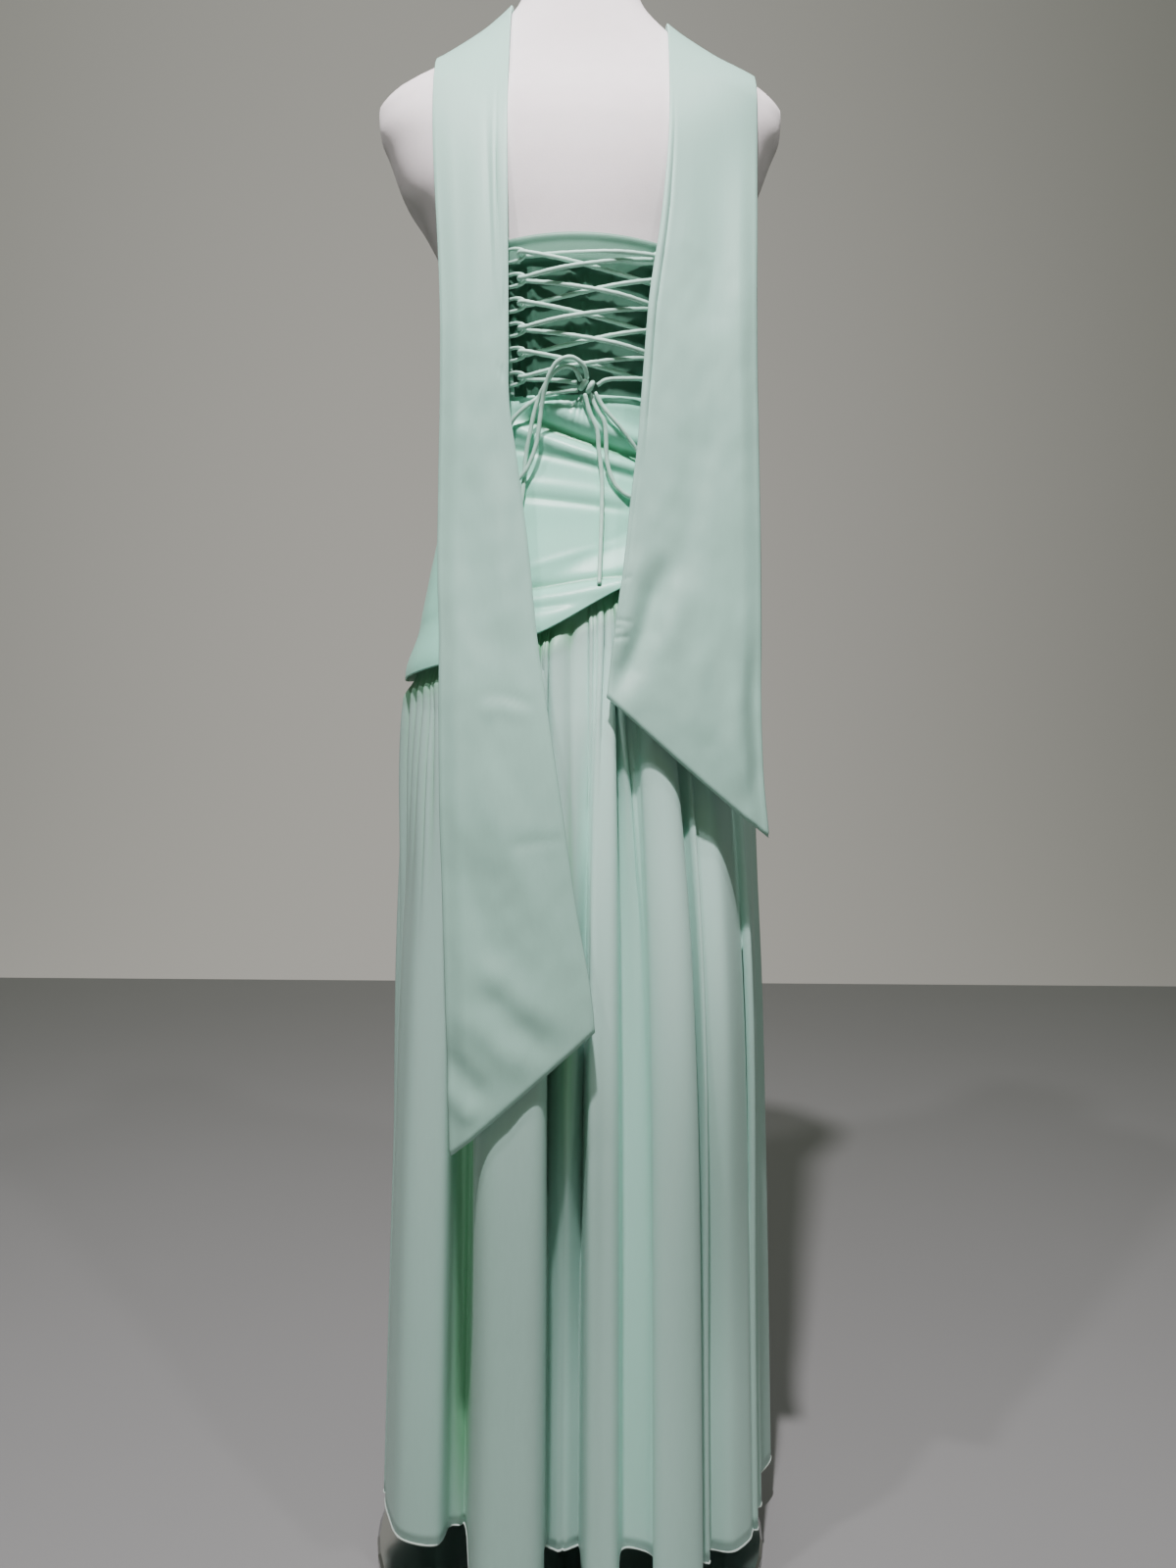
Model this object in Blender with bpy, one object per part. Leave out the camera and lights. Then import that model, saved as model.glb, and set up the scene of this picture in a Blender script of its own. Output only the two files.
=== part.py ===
# Asymmetrical maxi gown of mint satin on its limbless dress form and round stand.
# Metres, Z up, the gown's front faces +Y, origin under the middle of the base plate.

import math

import bmesh
import bpy
from mathutils import Vector

for old in list(bpy.data.objects):
    bpy.data.objects.remove(old, do_unlink=True)

# Sizes of the stand

BASE_RADIUS = 0.190
BASE_THICK = 0.008
BASE_ROUND = 0.0025
POLE_RADIUS = 0.0125
FORM_BOTTOM = 0.760
FORM_TOP = 1.535
FORM_COLUMNS = 48

# Sizes of the cloth

SEAM = 0.0003
CLOTH = 0.0010
SKIRT_CLOTH = 0.0012
STREAMER_CLOTH = 0.0016
HEM_HEIGHT = 0.050
BASQUE_TOP = 1.0905
WINDOW_LEFT = 0.061
WINDOW_RIGHT = 0.080
BASQUE_FLARE = 0.0075
BASQUE_BACK_OUT = 0.0028
GATHERS_HALF = 34

# Height where the streamers leave the shoulders, and their rows behind, over and in front

SHOULDER = 1.330
HANG_STEPS = 15
ARC_STEPS = 11
FRONT_STEPS = 4

# Sizes of the lacing: loops at the edges, and how the lace hooks them

LACE = 0.0040
LOOP = 0.0032
LOOP_COUNT = 6
LOOP_TOP = 1.2050
LOOP_PITCH = 0.0202
LOOP_TIP_LEFT = 0.0460
LOOP_TIP_RIGHT = 0.0660
LOOP_LIFT_LEFT = 0.0098
LOOP_LIFT_RIGHT = 0.0118
HOOK = 0.0049

# Sections of the form: height, half width, depth in front, depth behind, roundness

FORM = (
    (0.760, 0.1400, 0.0980, 0.1010, 2.20),
    (0.790, 0.1485, 0.1080, 0.1120, 2.20),
    (0.830, 0.1510, 0.1120, 0.1165, 2.20),
    (0.880, 0.1480, 0.1090, 0.1145, 2.15),
    (0.930, 0.1395, 0.1020, 0.1060, 2.10),
    (0.980, 0.1290, 0.0945, 0.0950, 2.10),
    (1.045, 0.1165, 0.0880, 0.0860, 2.10),
    (1.090, 0.1165, 0.0920, 0.0890, 2.10),
    (1.140, 0.1220, 0.1040, 0.0955, 2.10),
    (1.190, 0.1275, 0.1130, 0.1010, 2.10),
    (1.230, 0.1310, 0.1120, 0.1040, 2.10),
    (1.260, 0.1445, 0.1060, 0.1050, 2.10),
    (1.290, 0.1640, 0.0970, 0.1035, 2.10),
    (1.328, 0.1785, 0.0840, 0.0970, 2.10),
    (1.354, 0.1880, 0.0730, 0.0870, 2.10),
    (1.372, 0.1890, 0.0650, 0.0770, 2.05),
    (1.387, 0.1780, 0.0590, 0.0690, 2.00),
    (1.410, 0.1340, 0.0530, 0.0610, 2.00),
    (1.438, 0.0890, 0.0500, 0.0560, 2.00),
    (1.465, 0.0610, 0.0490, 0.0530, 2.00),
    (1.485, 0.0525, 0.0485, 0.0515, 2.00),
    (1.510, 0.0505, 0.0480, 0.0505, 2.00),
    (1.530, 0.0505, 0.0475, 0.0500, 2.00),
    (1.535, 0.0480, 0.0450, 0.0475, 2.00),
)

# Heights of the form's rings, closer together where it curves most

FORM_RINGS = (
    0.760, 0.790, 0.830, 0.880, 0.930, 0.980, 1.012, 1.045, 1.090, 1.140, 1.190, 1.225, 1.245,
    1.268, 1.300, 1.338, 1.360, 1.374, 1.387, 1.402, 1.418, 1.434, 1.450, 1.466, 1.485, 1.528,
    1.535,
)

# Free part of the skirt below the hips: height, half width, depth in front, depth behind

SKIRT_LINE = (
    (0.050, 0.1790, 0.1360, 0.1410),
    (0.250, 0.1740, 0.1320, 0.1370),
    (0.400, 0.1700, 0.1290, 0.1340),
    (0.550, 0.1660, 0.1250, 0.1300),
    (0.700, 0.1600, 0.1200, 0.1245),
    (0.820, 0.1550, 0.1165, 0.1205),
)

# Rows of the skirt: share of the drop, clearance, depth of the gathers, share of the folds

SKIRT_ROWS = (
    (-0.009, 0.0008, 0.0006, 0.00),
    (0.003, 0.0008, 0.0006, 0.00),
    (0.020, 0.0024, 0.0024, 0.02),
    (0.055, 0.0032, 0.0036, 0.06),
    (0.110, 0.0034, 0.0038, 0.15),
    (0.190, 0.0028, 0.0032, 0.28),
    (0.300, 0.0016, 0.0020, 0.46),
    (0.440, 0.0006, 0.0009, 0.65),
    (0.610, 0.0000, 0.0000, 0.82),
    (0.800, 0.0000, 0.0000, 0.94),
    (1.000, 0.0000, 0.0000, 1.00),
)

# Folds at the hem: crest angle, its reach, next valley angle, its reach, lean at the top

FOLDS = (
    (0.0, 0.018, 9.0, -0.006, 0.0),
    (18.0, 0.020, 26.0, -0.012, 1.0),
    (35.0, 0.030, 44.0, -0.020, -1.0),
    (52.0, 0.024, 61.0, -0.016, 2.0),
    (70.0, 0.034, 80.0, -0.022, 0.0),
    (88.0, 0.020, 97.0, -0.024, -2.0),
    (106.0, 0.036, 116.0, -0.018, 1.0),
    (124.0, 0.026, 132.0, -0.016, 2.0),
    (140.0, 0.030, 149.0, -0.014, -1.0),
    (158.0, 0.018, 167.0, -0.006, 0.0),
    (180.0, 0.007, 200.0, 0.000, 0.0),
    (221.0, 0.019, 231.5, -0.016, 1.0),
    (252.0, 0.047, 264.5, -0.046, 2.0),
    (268.5, -0.032, 272.0, -0.040, 2.0),
    (279.5, 0.026, 286.5, -0.010, 3.0),
    (291.6, 0.026, 297.5, 0.003, 6.5),
    (304.0, 0.033, 316.0, -0.004, 6.5),
    (330.5, 0.012, 343.0, -0.006, 0.0),
)

# Lower edge of the basque: angle round the body, height

BASQUE_EDGE = (
    (0.0, 0.962),
    (45.0, 0.930),
    (90.0, 0.893),
    (135.0, 0.860),
    (180.0, 0.8415),
    (215.0, 0.8515),
    (253.0, 0.8765),
    (286.0, 0.9125),
    (320.0, 0.947),
    (360.0, 0.962),
)

# Drag folds across the back of the basque: x, height, slope, half width and rise

DRAGS = (
    (0.0, 1.070, -0.16, 0.008, 0.0012),
    (0.0, 1.035, -0.32, 0.009, 0.0016),
    (0.0, 0.985, 0.02, 0.012, 0.0010),
    (0.0, 0.930, 0.18, 0.010, 0.0012),
)

# Top edge of the bodice: angle round the body, height

BODICE_EDGE = (
    (0.0, 1.2240),
    (30.0, 1.2320),
    (60.0, 1.2600),
    (90.0, 1.2520),
    (120.0, 1.2600),
    (150.0, 1.2320),
    (180.0, 1.2240),
    (255.0, 1.2225),
    (285.0, 1.2200),
    (360.0, 1.2240),
)

# Hanging part of each streamer: height, inner x, outer x, inner y, outer y

STREAMER_LEFT = (
    (0.440, 0.0200, -0.1002, -0.1850, -0.1800),
    (0.547, 0.0183, -0.1040, -0.1790, -0.1740),
    (0.655, 0.0013, -0.1090, -0.1670, -0.1610),
    (0.728, -0.0098, -0.1125, -0.1600, -0.1530),
    (0.801, -0.0212, -0.1145, -0.1500, -0.1430),
    (0.875, -0.0326, -0.1160, -0.1370, -0.1310),
    (0.952, -0.0411, -0.1190, -0.1240, -0.1190),
    (1.018, -0.0500, -0.1188, -0.1190, -0.1130),
    (1.090, -0.0589, -0.1183, -0.1160, -0.1080),
    (1.177, -0.0595, -0.1190, -0.1130, -0.1010),
    (1.252, -0.0605, -0.1244, -0.1080, -0.0900),
    (1.330, -0.0625, -0.1300, -0.0958, -0.0738),
)

STREAMER_RIGHT = (
    (0.705, 0.0270, 0.1666, -0.1530, -0.1420),
    (0.751, 0.0275, 0.1627, -0.1500, -0.1370),
    (0.824, 0.0282, 0.1603, -0.1440, -0.1290),
    (0.884, 0.0345, 0.1600, -0.1350, -0.1210),
    (0.935, 0.0411, 0.1600, -0.1270, -0.1150),
    (1.000, 0.0478, 0.1590, -0.1200, -0.1080),
    (1.044, 0.0529, 0.1582, -0.1170, -0.1030),
    (1.119, 0.0581, 0.1570, -0.1130, -0.0950),
    (1.169, 0.0619, 0.1567, -0.1110, -0.0890),
    (1.252, 0.0737, 0.1580, -0.1040, -0.0740),
    (1.330, 0.0790, 0.1590, -0.0928, -0.0515),
)

# Lengths of the streamers: lowest inner corner, lowest outer tip, inner and outer x in front

LEFT_ENDS = (0.547, 0.441, -0.050, -0.106)
RIGHT_ENDS = (0.824, 0.706, 0.052, 0.112)

# Free strands of the bow: x, height, lift off the form behind

BOW_LEFT = (
    (0.0031, 1.0998, 0.0121),
    (-0.0025, 1.1072, 0.0195),
    (-0.0112, 1.1085, 0.0212),
    (-0.0190, 1.1048, 0.0208),
    (-0.0265, 1.0965, 0.0184),
    (-0.0333, 1.0845, 0.0145),
    (-0.0378, 1.0710, 0.0140),
    (-0.0412, 1.0550, 0.0132),
    (-0.0446, 1.0388, 0.0122),
    (-0.0463, 1.0187, 0.0110),
    (-0.0474, 1.0026, 0.0106),
    (-0.0500, 0.9920, 0.0104),
    (-0.0550, 0.9905, 0.0104),
    (-0.0600, 1.0000, 0.0106),
    (-0.0625, 1.0187, 0.0110),
    (-0.0635, 1.0388, 0.0122),
    (-0.0625, 1.0550, 0.0132),
    (-0.0566, 1.0678, 0.0138),
    (-0.0472, 1.0770, 0.0126),
    (-0.0361, 1.0850, 0.0096),
    (-0.0260, 1.0900, 0.0074),
    (-0.0140, 1.0918, 0.0065),
    (0.0004, 1.0929, 0.0074),
)
TAIL_LEFT = (
    (0.0085, 1.1020, 0.0114),
    (0.0058, 1.1092, 0.0200),
    (-0.0040, 1.1150, 0.0240),
    (-0.0150, 1.1125, 0.0256),
    (-0.0224, 1.1040, 0.0250),
    (-0.0275, 1.0911, 0.0225),
    (-0.0305, 1.0766, 0.0190),
    (-0.0325, 1.0629, 0.0180),
    (-0.0350, 1.0468, 0.0170),
    (-0.0395, 1.0331, 0.0166),
    (-0.0445, 1.0227, 0.0160),
    (-0.0515, 1.0146, 0.0155),
)
BOW_RIGHT = (
    (0.0109, 1.0902, 0.0080),
    (0.0178, 1.0750, 0.0112),
    (0.0238, 1.0653, 0.0128),
    (0.0255, 1.0508, 0.0128),
    (0.0258, 1.0380, 0.0120),
    (0.0282, 1.0243, 0.0112),
    (0.0340, 1.0114, 0.0106),
    (0.0426, 1.0033, 0.0104),
    (0.0511, 1.0010, 0.0104),
    (0.0580, 1.0066, 0.0106),
    (0.0605, 1.0187, 0.0110),
    (0.0588, 1.0315, 0.0116),
    (0.0528, 1.0428, 0.0124),
    (0.0460, 1.0517, 0.0130),
    (0.0366, 1.0629, 0.0132),
    (0.0275, 1.0726, 0.0116),
    (0.0210, 1.0812, 0.0096),
    (0.0154, 1.0908, 0.0088),
)
TAIL_RIGHT = (
    (0.0066, 1.0888, 0.0110),
    (0.0112, 1.0725, 0.0125),
    (0.0175, 1.0583, 0.0130),
    (0.0192, 1.0420, 0.0124),
    (0.0216, 1.0228, 0.0114),
    (0.0224, 1.0035, 0.0106),
    (0.0221, 0.9800, 0.0106),
    (0.0212, 0.9500, 0.0118),
    (0.0204, 0.9219, 0.0148),
)

# Knot of the bow: x, height and lift of its middle, then its size

KNOT = (0.0085, 1.0955, 0.0105)
KNOT_SIZE = (0.0170, 0.0100, 0.0110)


# Shared tools

def read(rows, at, column):
    """Smooth value of one column of a table, whose first column rises."""
    keys = [row[0] for row in rows]
    if at <= keys[0]:
        return rows[0][column]
    if at >= keys[-1]:
        return rows[-1][column]
    i = max(k for k in range(len(keys) - 1) if keys[k] <= at)
    span = keys[i + 1] - keys[i]
    step = rows[i + 1][column] - rows[i][column]
    before = after = step
    if i > 0:
        before = (rows[i][column] - rows[i - 1][column]) * span / (keys[i] - keys[i - 1])
    if i < len(keys) - 2:
        after = (rows[i + 2][column] - rows[i + 1][column]) * span / (keys[i + 2] - keys[i + 1])
    start = 0.0 if before * step <= 0 else 2 * before * step / (before + step)
    end = 0.0 if after * step <= 0 else 2 * after * step / (after + step)
    t = (at - keys[i]) / span
    rise = t * t * (3 - 2 * t)
    return (
        rows[i][column] + step * rise
        + start * t * (1 - t) ** 2 - end * t * t * (1 - t)
    )


def ease(value, low, high):
    """0 below low, 1 above high and smooth between."""
    t = min(1.0, max(0.0, (value - low) / (high - low)))
    return t * t * (3 - 2 * t)


def mix(a, b, share):
    return a + (b - a) * share


def oval(turn, width, front, behind, power):
    """Distance from the middle to an oval at an angle in degrees."""
    a = math.radians(turn)
    depth = front if math.sin(a) > 0 else behind
    return (abs(math.cos(a) / width) ** power + abs(math.sin(a) / depth) ** power) ** (-1 / power)


def form_reach(turn, z):
    z = max(z, FORM_BOTTOM)
    return oval(turn, read(FORM, z, 1), read(FORM, z, 2), read(FORM, z, 3), read(FORM, z, 4))


def spot(turn, reach, z):
    a = math.radians(turn)
    return Vector((reach * math.cos(a), reach * math.sin(a), z))


def torso(turn, z, out=0.0):
    """Point on the form at an angle and height, moved out along the form's normal."""
    here = spot(turn, form_reach(turn, z), z)
    round_it = spot(turn + 0.5, form_reach(turn + 0.5, z), z) - here
    up = spot(turn, form_reach(turn, z + 0.001), z + 0.001) - here
    return here + round_it.cross(up).normalized() * out


def form_depth(x, z, side):
    """Depth of the form at an x and a height, in front (side 1) or behind (side -1)."""
    share = min(1.0, abs(x) / read(FORM, z, 1))
    power = read(FORM, z, 4)
    depth = read(FORM, z, 2) if side > 0 else read(FORM, z, 3)
    return side * depth * (1 - share ** power) ** (1 / power)


def behind(x, z, lift):
    return Vector((x, form_depth(x, z, -1) - lift, z))


def paint(name, color, rough, metal=0.0):
    material = bpy.data.materials.new(name)
    material.use_nodes = True
    shader = material.node_tree.nodes["Principled BSDF"]
    shader.inputs["Base Color"].default_value = (*color, 1.0)
    shader.inputs["Roughness"].default_value = rough
    shader.inputs["Metallic"].default_value = metal
    material.diffuse_color = (*color, 1.0)
    return material


def keep(name, mesh, material, smooth=True):
    mesh.materials.append(material)
    for face in mesh.polygons:
        face.use_smooth = smooth
    item = bpy.data.objects.new(name, mesh)
    bpy.context.collection.objects.link(item)
    return item


def cloth(name, columns, rows, place, thick, material):
    """Wall of cloth: place() gives its inner side over 0 to 1 round and 0 to 1 up."""
    bm = bmesh.new()
    bmesh.ops.create_grid(bm, x_segments=columns, y_segments=rows, size=0.5)
    for vertex in bm.verts:
        vertex.co = place(vertex.co.x + 0.5, vertex.co.y + 0.5)
    mesh = bpy.data.meshes.new(name)
    bm.to_mesh(mesh)
    bm.free()
    item = keep(name, mesh, material)
    wall = item.modifiers.new("wall", "SOLIDIFY")
    wall.thickness = thick
    wall.offset = 1.0
    wall.use_even_offset = True
    return item


def turned(name, columns, rows, place, material):
    """Closed body from rings, with flat ends."""
    bm = bmesh.new()
    bmesh.ops.create_grid(bm, x_segments=columns, y_segments=rows, size=0.5)
    for vertex in bm.verts:
        vertex.co = place(vertex.co.x + 0.5, vertex.co.y + 0.5)
    bmesh.ops.remove_doubles(bm, verts=bm.verts, dist=0.00002)
    bmesh.ops.holes_fill(bm, edges=bm.edges, sides=0)
    bmesh.ops.recalc_face_normals(bm, faces=bm.faces)
    mesh = bpy.data.meshes.new(name)
    bm.to_mesh(mesh)
    bm.free()
    return keep(name, mesh, material)


def rouleau(name, points, thick, material):
    """Round tube of cloth along a list of points."""
    curve = bpy.data.curves.new(name, "CURVE")
    curve.dimensions = "3D"
    curve.bevel_depth = thick / 2
    curve.bevel_resolution = 2
    curve.use_fill_caps = True
    line = curve.splines.new("POLY")
    line.points.add(len(points) - 1)
    for slot, point in zip(line.points, points):
        slot.co = (*point, 1.0)
    curve.materials.append(material)
    item = bpy.data.objects.new(name, curve)
    bpy.context.collection.objects.link(item)
    return item


def flow(controls, step):
    """Points about one step apart on a smooth curve through the controls."""
    controls = [Vector(c) for c in controls]
    padded = [2 * controls[0] - controls[1], *controls, 2 * controls[-1] - controls[-2]]
    points = []
    for i in range(1, len(padded) - 2):
        a, b, c, d = padded[i - 1:i + 3]
        count = max(1, round((c - b).length / step))
        for k in range(count):
            t = k / count
            points.append(0.5 * (
                2 * b + (c - a) * t + (2 * a - 5 * b + 4 * c - d) * t ** 2
                + (3 * b - a - 3 * c + d) * t ** 3
            ))
    points.append(controls[-1])
    return points


form_cover = paint("form_cover", (0.80, 0.74, 0.74), 0.75)
chrome = paint("chrome", (0.55, 0.55, 0.56), 0.15, 1.0)
satin = paint("mint_satin", (0.50, 0.74, 0.64), 0.42)
satin_bright = paint("mint_satin_bright", (0.52, 0.80, 0.67), 0.32)
satin_panel = paint("mint_satin_panel", (0.22, 0.44, 0.34), 0.45)


# Stand and form

bm = bmesh.new()
bmesh.ops.create_cone(
    bm, cap_ends=True, segments=48, radius1=BASE_RADIUS, radius2=BASE_RADIUS, depth=BASE_THICK
)
bmesh.ops.translate(bm, verts=bm.verts, vec=(0, 0, BASE_THICK / 2))
plate_mesh = bpy.data.meshes.new("form_base")
bm.to_mesh(plate_mesh)
bm.free()
plate = keep("form_base", plate_mesh, chrome, smooth=False)
edge = plate.modifiers.new("edge", "BEVEL")
edge.width = BASE_ROUND
edge.segments = 1
edge.limit_method = "ANGLE"
edge.angle_limit = math.radians(40)

pole_bottom = BASE_THICK + SEAM
pole_top = FORM_BOTTOM - SEAM
bm = bmesh.new()
bmesh.ops.create_cone(
    bm, cap_ends=True, segments=32, radius1=POLE_RADIUS, radius2=POLE_RADIUS,
    depth=pole_top - pole_bottom,
)
bmesh.ops.translate(bm, verts=bm.verts, vec=(0, 0, (pole_top + pole_bottom) / 2))
pole_mesh = bpy.data.meshes.new("form_pole")
bm.to_mesh(pole_mesh)
bm.free()
keep("form_pole", pole_mesh, chrome)

turned(
    "form_torso", FORM_COLUMNS, len(FORM_RINGS) - 1,
    lambda u, v: torso(360 * u, FORM_RINGS[round(v * (len(FORM_RINGS) - 1))]), form_cover,
)


# Bodice, modesty panel and basque

def basque_edge(turn):
    return read(BASQUE_EDGE, turn % 360, 1)


def back_share(turn):
    """1 over the laced back, 0 at the sides and in front."""
    return ease(turn, 203, 219) * (1 - ease(turn, 335, 349))


def bodice_out(turn):
    return 0.0012 + 0.0010 * back_share(turn)


def bodice_panel(name, start, end, columns, rows):
    def place(u, v):
        turn = mix(start, end, u)
        return torso(turn, mix(BASQUE_TOP + SEAM, read(BODICE_EDGE, turn, 1), v), bodice_out(turn))
    cloth(name, columns, rows, place, CLOTH, satin)


window_start = 180 + math.degrees(math.acos(WINDOW_LEFT / 0.108))
window_end = 360 - math.degrees(math.acos(WINDOW_RIGHT / 0.108))
half_seam = math.degrees(SEAM / 2 / 0.11)
bodice_panel("bodice_front", half_seam, 180 - half_seam, 24, 7)
bodice_panel("bodice_back_left", 180 + half_seam, window_start, 8, 5)
bodice_panel("bodice_back_right", window_end, 360 - half_seam, 6, 5)

cloth(
    "modesty_panel", 13, 6,
    lambda u, v: torso(
        mix(221, 320.5, u), mix(1.076, read(BODICE_EDGE, mix(221, 320.5, u), 1) + 0.001, v), 0.0008
    ),
    CLOTH, satin_panel,
)


def pull(x, z):
    """Soft drag folds across the back of the basque."""
    total = 0.0
    for x0, z0, slope, width, height in DRAGS:
        away = (z - z0 - slope * (x - x0)) / width
        total += height * math.exp(-away * away)
    return total


def basque_panel(name, start, end, back):
    def place(u, v):
        turn = mix(start, end, u)
        low = basque_edge(turn)
        z = mix(low, BASQUE_TOP, v)
        out = bodice_out(turn) + BASQUE_FLARE * (1 - ease(z, low + 0.004, low + 0.050))
        if back:
            inside = math.sin(math.pi * u) ** 0.5 * ease(z, low, low + 0.06)
            inside *= 1 - ease(z, 1.075, BASQUE_TOP)
            out += (BASQUE_BACK_OUT + pull(torso(turn, z).x, z)) * inside
        return torso(turn, z, out)
    cloth(name, 24, 10 if back else 6, place, CLOTH, satin_bright)


basque_panel("basque_front", half_seam, 180 - half_seam, False)
basque_panel("basque_back", 180 + half_seam, 360 - half_seam, True)


# Skirt

def fold_reach(turn, height_share):
    """How far the folds stand out from the skirt's line at an angle."""
    knots = []
    for crest, out, valley, dip, lean in FOLDS:
        shift = lean * (1 - height_share)
        knots.append((crest + shift, out, True))
        knots.append((valley + shift, dip, False))
    knots = [(knots[-1][0] - 360, *knots[-1][1:]), *knots, (knots[0][0] + 360, *knots[0][1:])]
    for (a, low, is_crest), (b, high, _) in zip(knots, knots[1:]):
        if a <= turn <= b:
            t = (turn - a) / (b - a)
            valley, crest = (high, low) if is_crest else (low, high)
            t = 1 - t if is_crest else t
            return valley + (crest - valley) * math.sin(math.pi / 2 * t) ** 0.9
    return 0.0


def skirt_reach(turn, z, clear):
    """Skirt's line: over the hips it follows the form, below it hangs free."""
    over = form_reach(turn, z) + clear
    free = oval(
        turn, read(SKIRT_LINE, z, 1), read(SKIRT_LINE, z, 2), read(SKIRT_LINE, z, 3), 2.0
    )
    free = max(free, over) if z > 0.80 else free
    return mix(free, over, ease(z, 0.80, 0.86))


def skirt_panel(name, start, end):
    def place(u, v):
        turn = mix(start, end, u)
        row = SKIRT_ROWS[round((1 - v) * (len(SKIRT_ROWS) - 1))]
        share, clear, gather, fold = row
        top = basque_edge(turn)
        z = top - share * (top - HEM_HEIGHT)
        column = round(u * 2 * GATHERS_HALF)
        crest = 1 if column % 2 and 1 < column < 2 * GATHERS_HALF - 1 else -1
        reach = skirt_reach(turn, z, clear) + fold * fold_reach(turn % 360, share)
        reach += gather * (1 + crest)
        guard = form_reach(turn, z) + 0.0007
        if z > FORM_BOTTOM - 0.02:
            reach = max(reach, guard)
        return spot(turn, reach, z)
    cloth(name, 2 * GATHERS_HALF, len(SKIRT_ROWS) - 1, place, SKIRT_CLOTH, satin)


hem_seam = math.degrees(SEAM / 2 / 0.15)
skirt_panel("skirt_front", hem_seam, 180 - hem_seam)
skirt_panel("skirt_back", 180 + hem_seam, 360 - hem_seam)


# Streamers over the shoulders

def shoulder_spot(x, swing):
    """Point over the shoulder: swing 0 is level in front, 90 straight up, 180 level behind."""
    a = math.radians(swing)
    near, far = 0.0, 0.30
    for _ in range(40):
        middle = (near + far) / 2
        y = middle * math.cos(a)
        z = SHOULDER + middle * math.sin(a)
        wide = read(FORM, z, 1)
        deep = read(FORM, z, 2) if y > 0 else read(FORM, z, 3)
        power = read(FORM, z, 4)
        inside = z < FORM_TOP and (abs(x) / wide) ** power + (abs(y) / deep) ** power < 1
        near, far = (middle, far) if inside else (near, middle)
    near += 0.0015 + 0.0036 * math.sin(a)
    return Vector((x, near * math.cos(a), SHOULDER + near * math.sin(a)))


def over_shoulder(x):
    """Evenly spaced points over the shoulder, from the back to the front."""
    fine = [shoulder_spot(x, 180 - 3 * k) for k in range(61)]
    run = [0.0]
    for a, b in zip(fine, fine[1:]):
        run.append(run[-1] + (b - a).length)
    points = []
    for step in range(ARC_STEPS + 1):
        want = run[-1] * step / ARC_STEPS
        k = max(i for i in range(60) if run[i] <= want + 1e-9)
        points.append(fine[k].lerp(fine[k + 1], (want - run[k]) / (run[k + 1] - run[k])))
    return points


def streamer(name, hang, ends, columns):
    low_in, low_out, front_in, front_out = ends
    steps = FRONT_STEPS + ARC_STEPS + HANG_STEPS
    mirrored = hang[0][2] > hang[0][1]
    arcs = {}

    def place(u, v):
        across = u if mirrored else 1 - u
        k = round(v * steps)
        if k < HANG_STEPS:
            low = mix(low_in, low_out, across)
            share = 1 - k / HANG_STEPS
            z = mix(SHOULDER, low, share ** 0.9)
            x = mix(read(hang, z, 1), read(hang, z, 2), across)
            y = mix(read(hang, z, 3), read(hang, z, 4), across)
            y -= 0.004 * math.sin(math.pi * across) * ease(SHOULDER - z, 0.05, 0.35)
            return Vector((x, y, z))
        x = mix(hang[-1][1], hang[-1][2], across)
        if k <= HANG_STEPS + ARC_STEPS:
            if x not in arcs:
                arcs[x] = over_shoulder(x)
            return arcs[x][k - HANG_STEPS]
        share = (k - HANG_STEPS - ARC_STEPS) / FRONT_STEPS
        front_x = mix(x, mix(front_in, front_out, across), ease(share, 0, 1))
        turn = math.degrees(math.atan2(0.10, front_x))
        edge = read(BODICE_EDGE, turn, 1) + 0.0012
        z = mix(SHOULDER, edge, share)
        return Vector((front_x, form_depth(front_x, z, 1) + 0.0012, z))
    cloth(name, columns, steps, place, STREAMER_CLOTH, satin)


streamer("streamer_left", STREAMER_LEFT, LEFT_ENDS, 6)
streamer("streamer_right", STREAMER_RIGHT, RIGHT_ENDS, 7)


# Lacing of the back

def loop_height(i):
    return LOOP_TOP - i * LOOP_PITCH


def loop_tip(side):
    """Distance of the loops' tips from the middle, and their lift."""
    if side > 0:
        return LOOP_TIP_RIGHT, LOOP_LIFT_RIGHT
    return LOOP_TIP_LEFT, LOOP_LIFT_LEFT


def loops(name, side):
    """Row of small loops along one edge of the opening, in one wavy rouleau."""
    root = (WINDOW_RIGHT if side > 0 else WINDOW_LEFT) + 0.0065
    tip, lift = loop_tip(side)
    controls = []
    for i in range(LOOP_COUNT):
        z = loop_height(i)
        controls += [
            (root, z + 0.0058, 0.0064),
            (tip + 0.0075, z + 0.0050, lift),
            (tip + 0.0005, z + 0.0026, lift),
            (tip + 0.0005, z - 0.0026, lift),
            (tip + 0.0075, z - 0.0050, lift),
            (root, z - 0.0058, 0.0064),
        ]
    points = [behind(side * x, z, out) for x, z, out in controls]
    rouleau(name, points, LOOP, satin)


loops("loops_left", -1)
loops("loops_right", 1)


def hook(side, z):
    """The lace turns round a loop's tip: under it, up through its eye and back over it."""
    tip, lift = loop_tip(side)
    points = []
    for swing in (285, 215, 145, 75):
        a = math.radians(swing)
        x = side * (tip - HOOK * math.cos(a))
        level = form_depth(x, z, -1) - form_depth(side * tip, z, -1)
        points.append((x, z, lift + HOOK * math.sin(a) + level))
    return points


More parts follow.
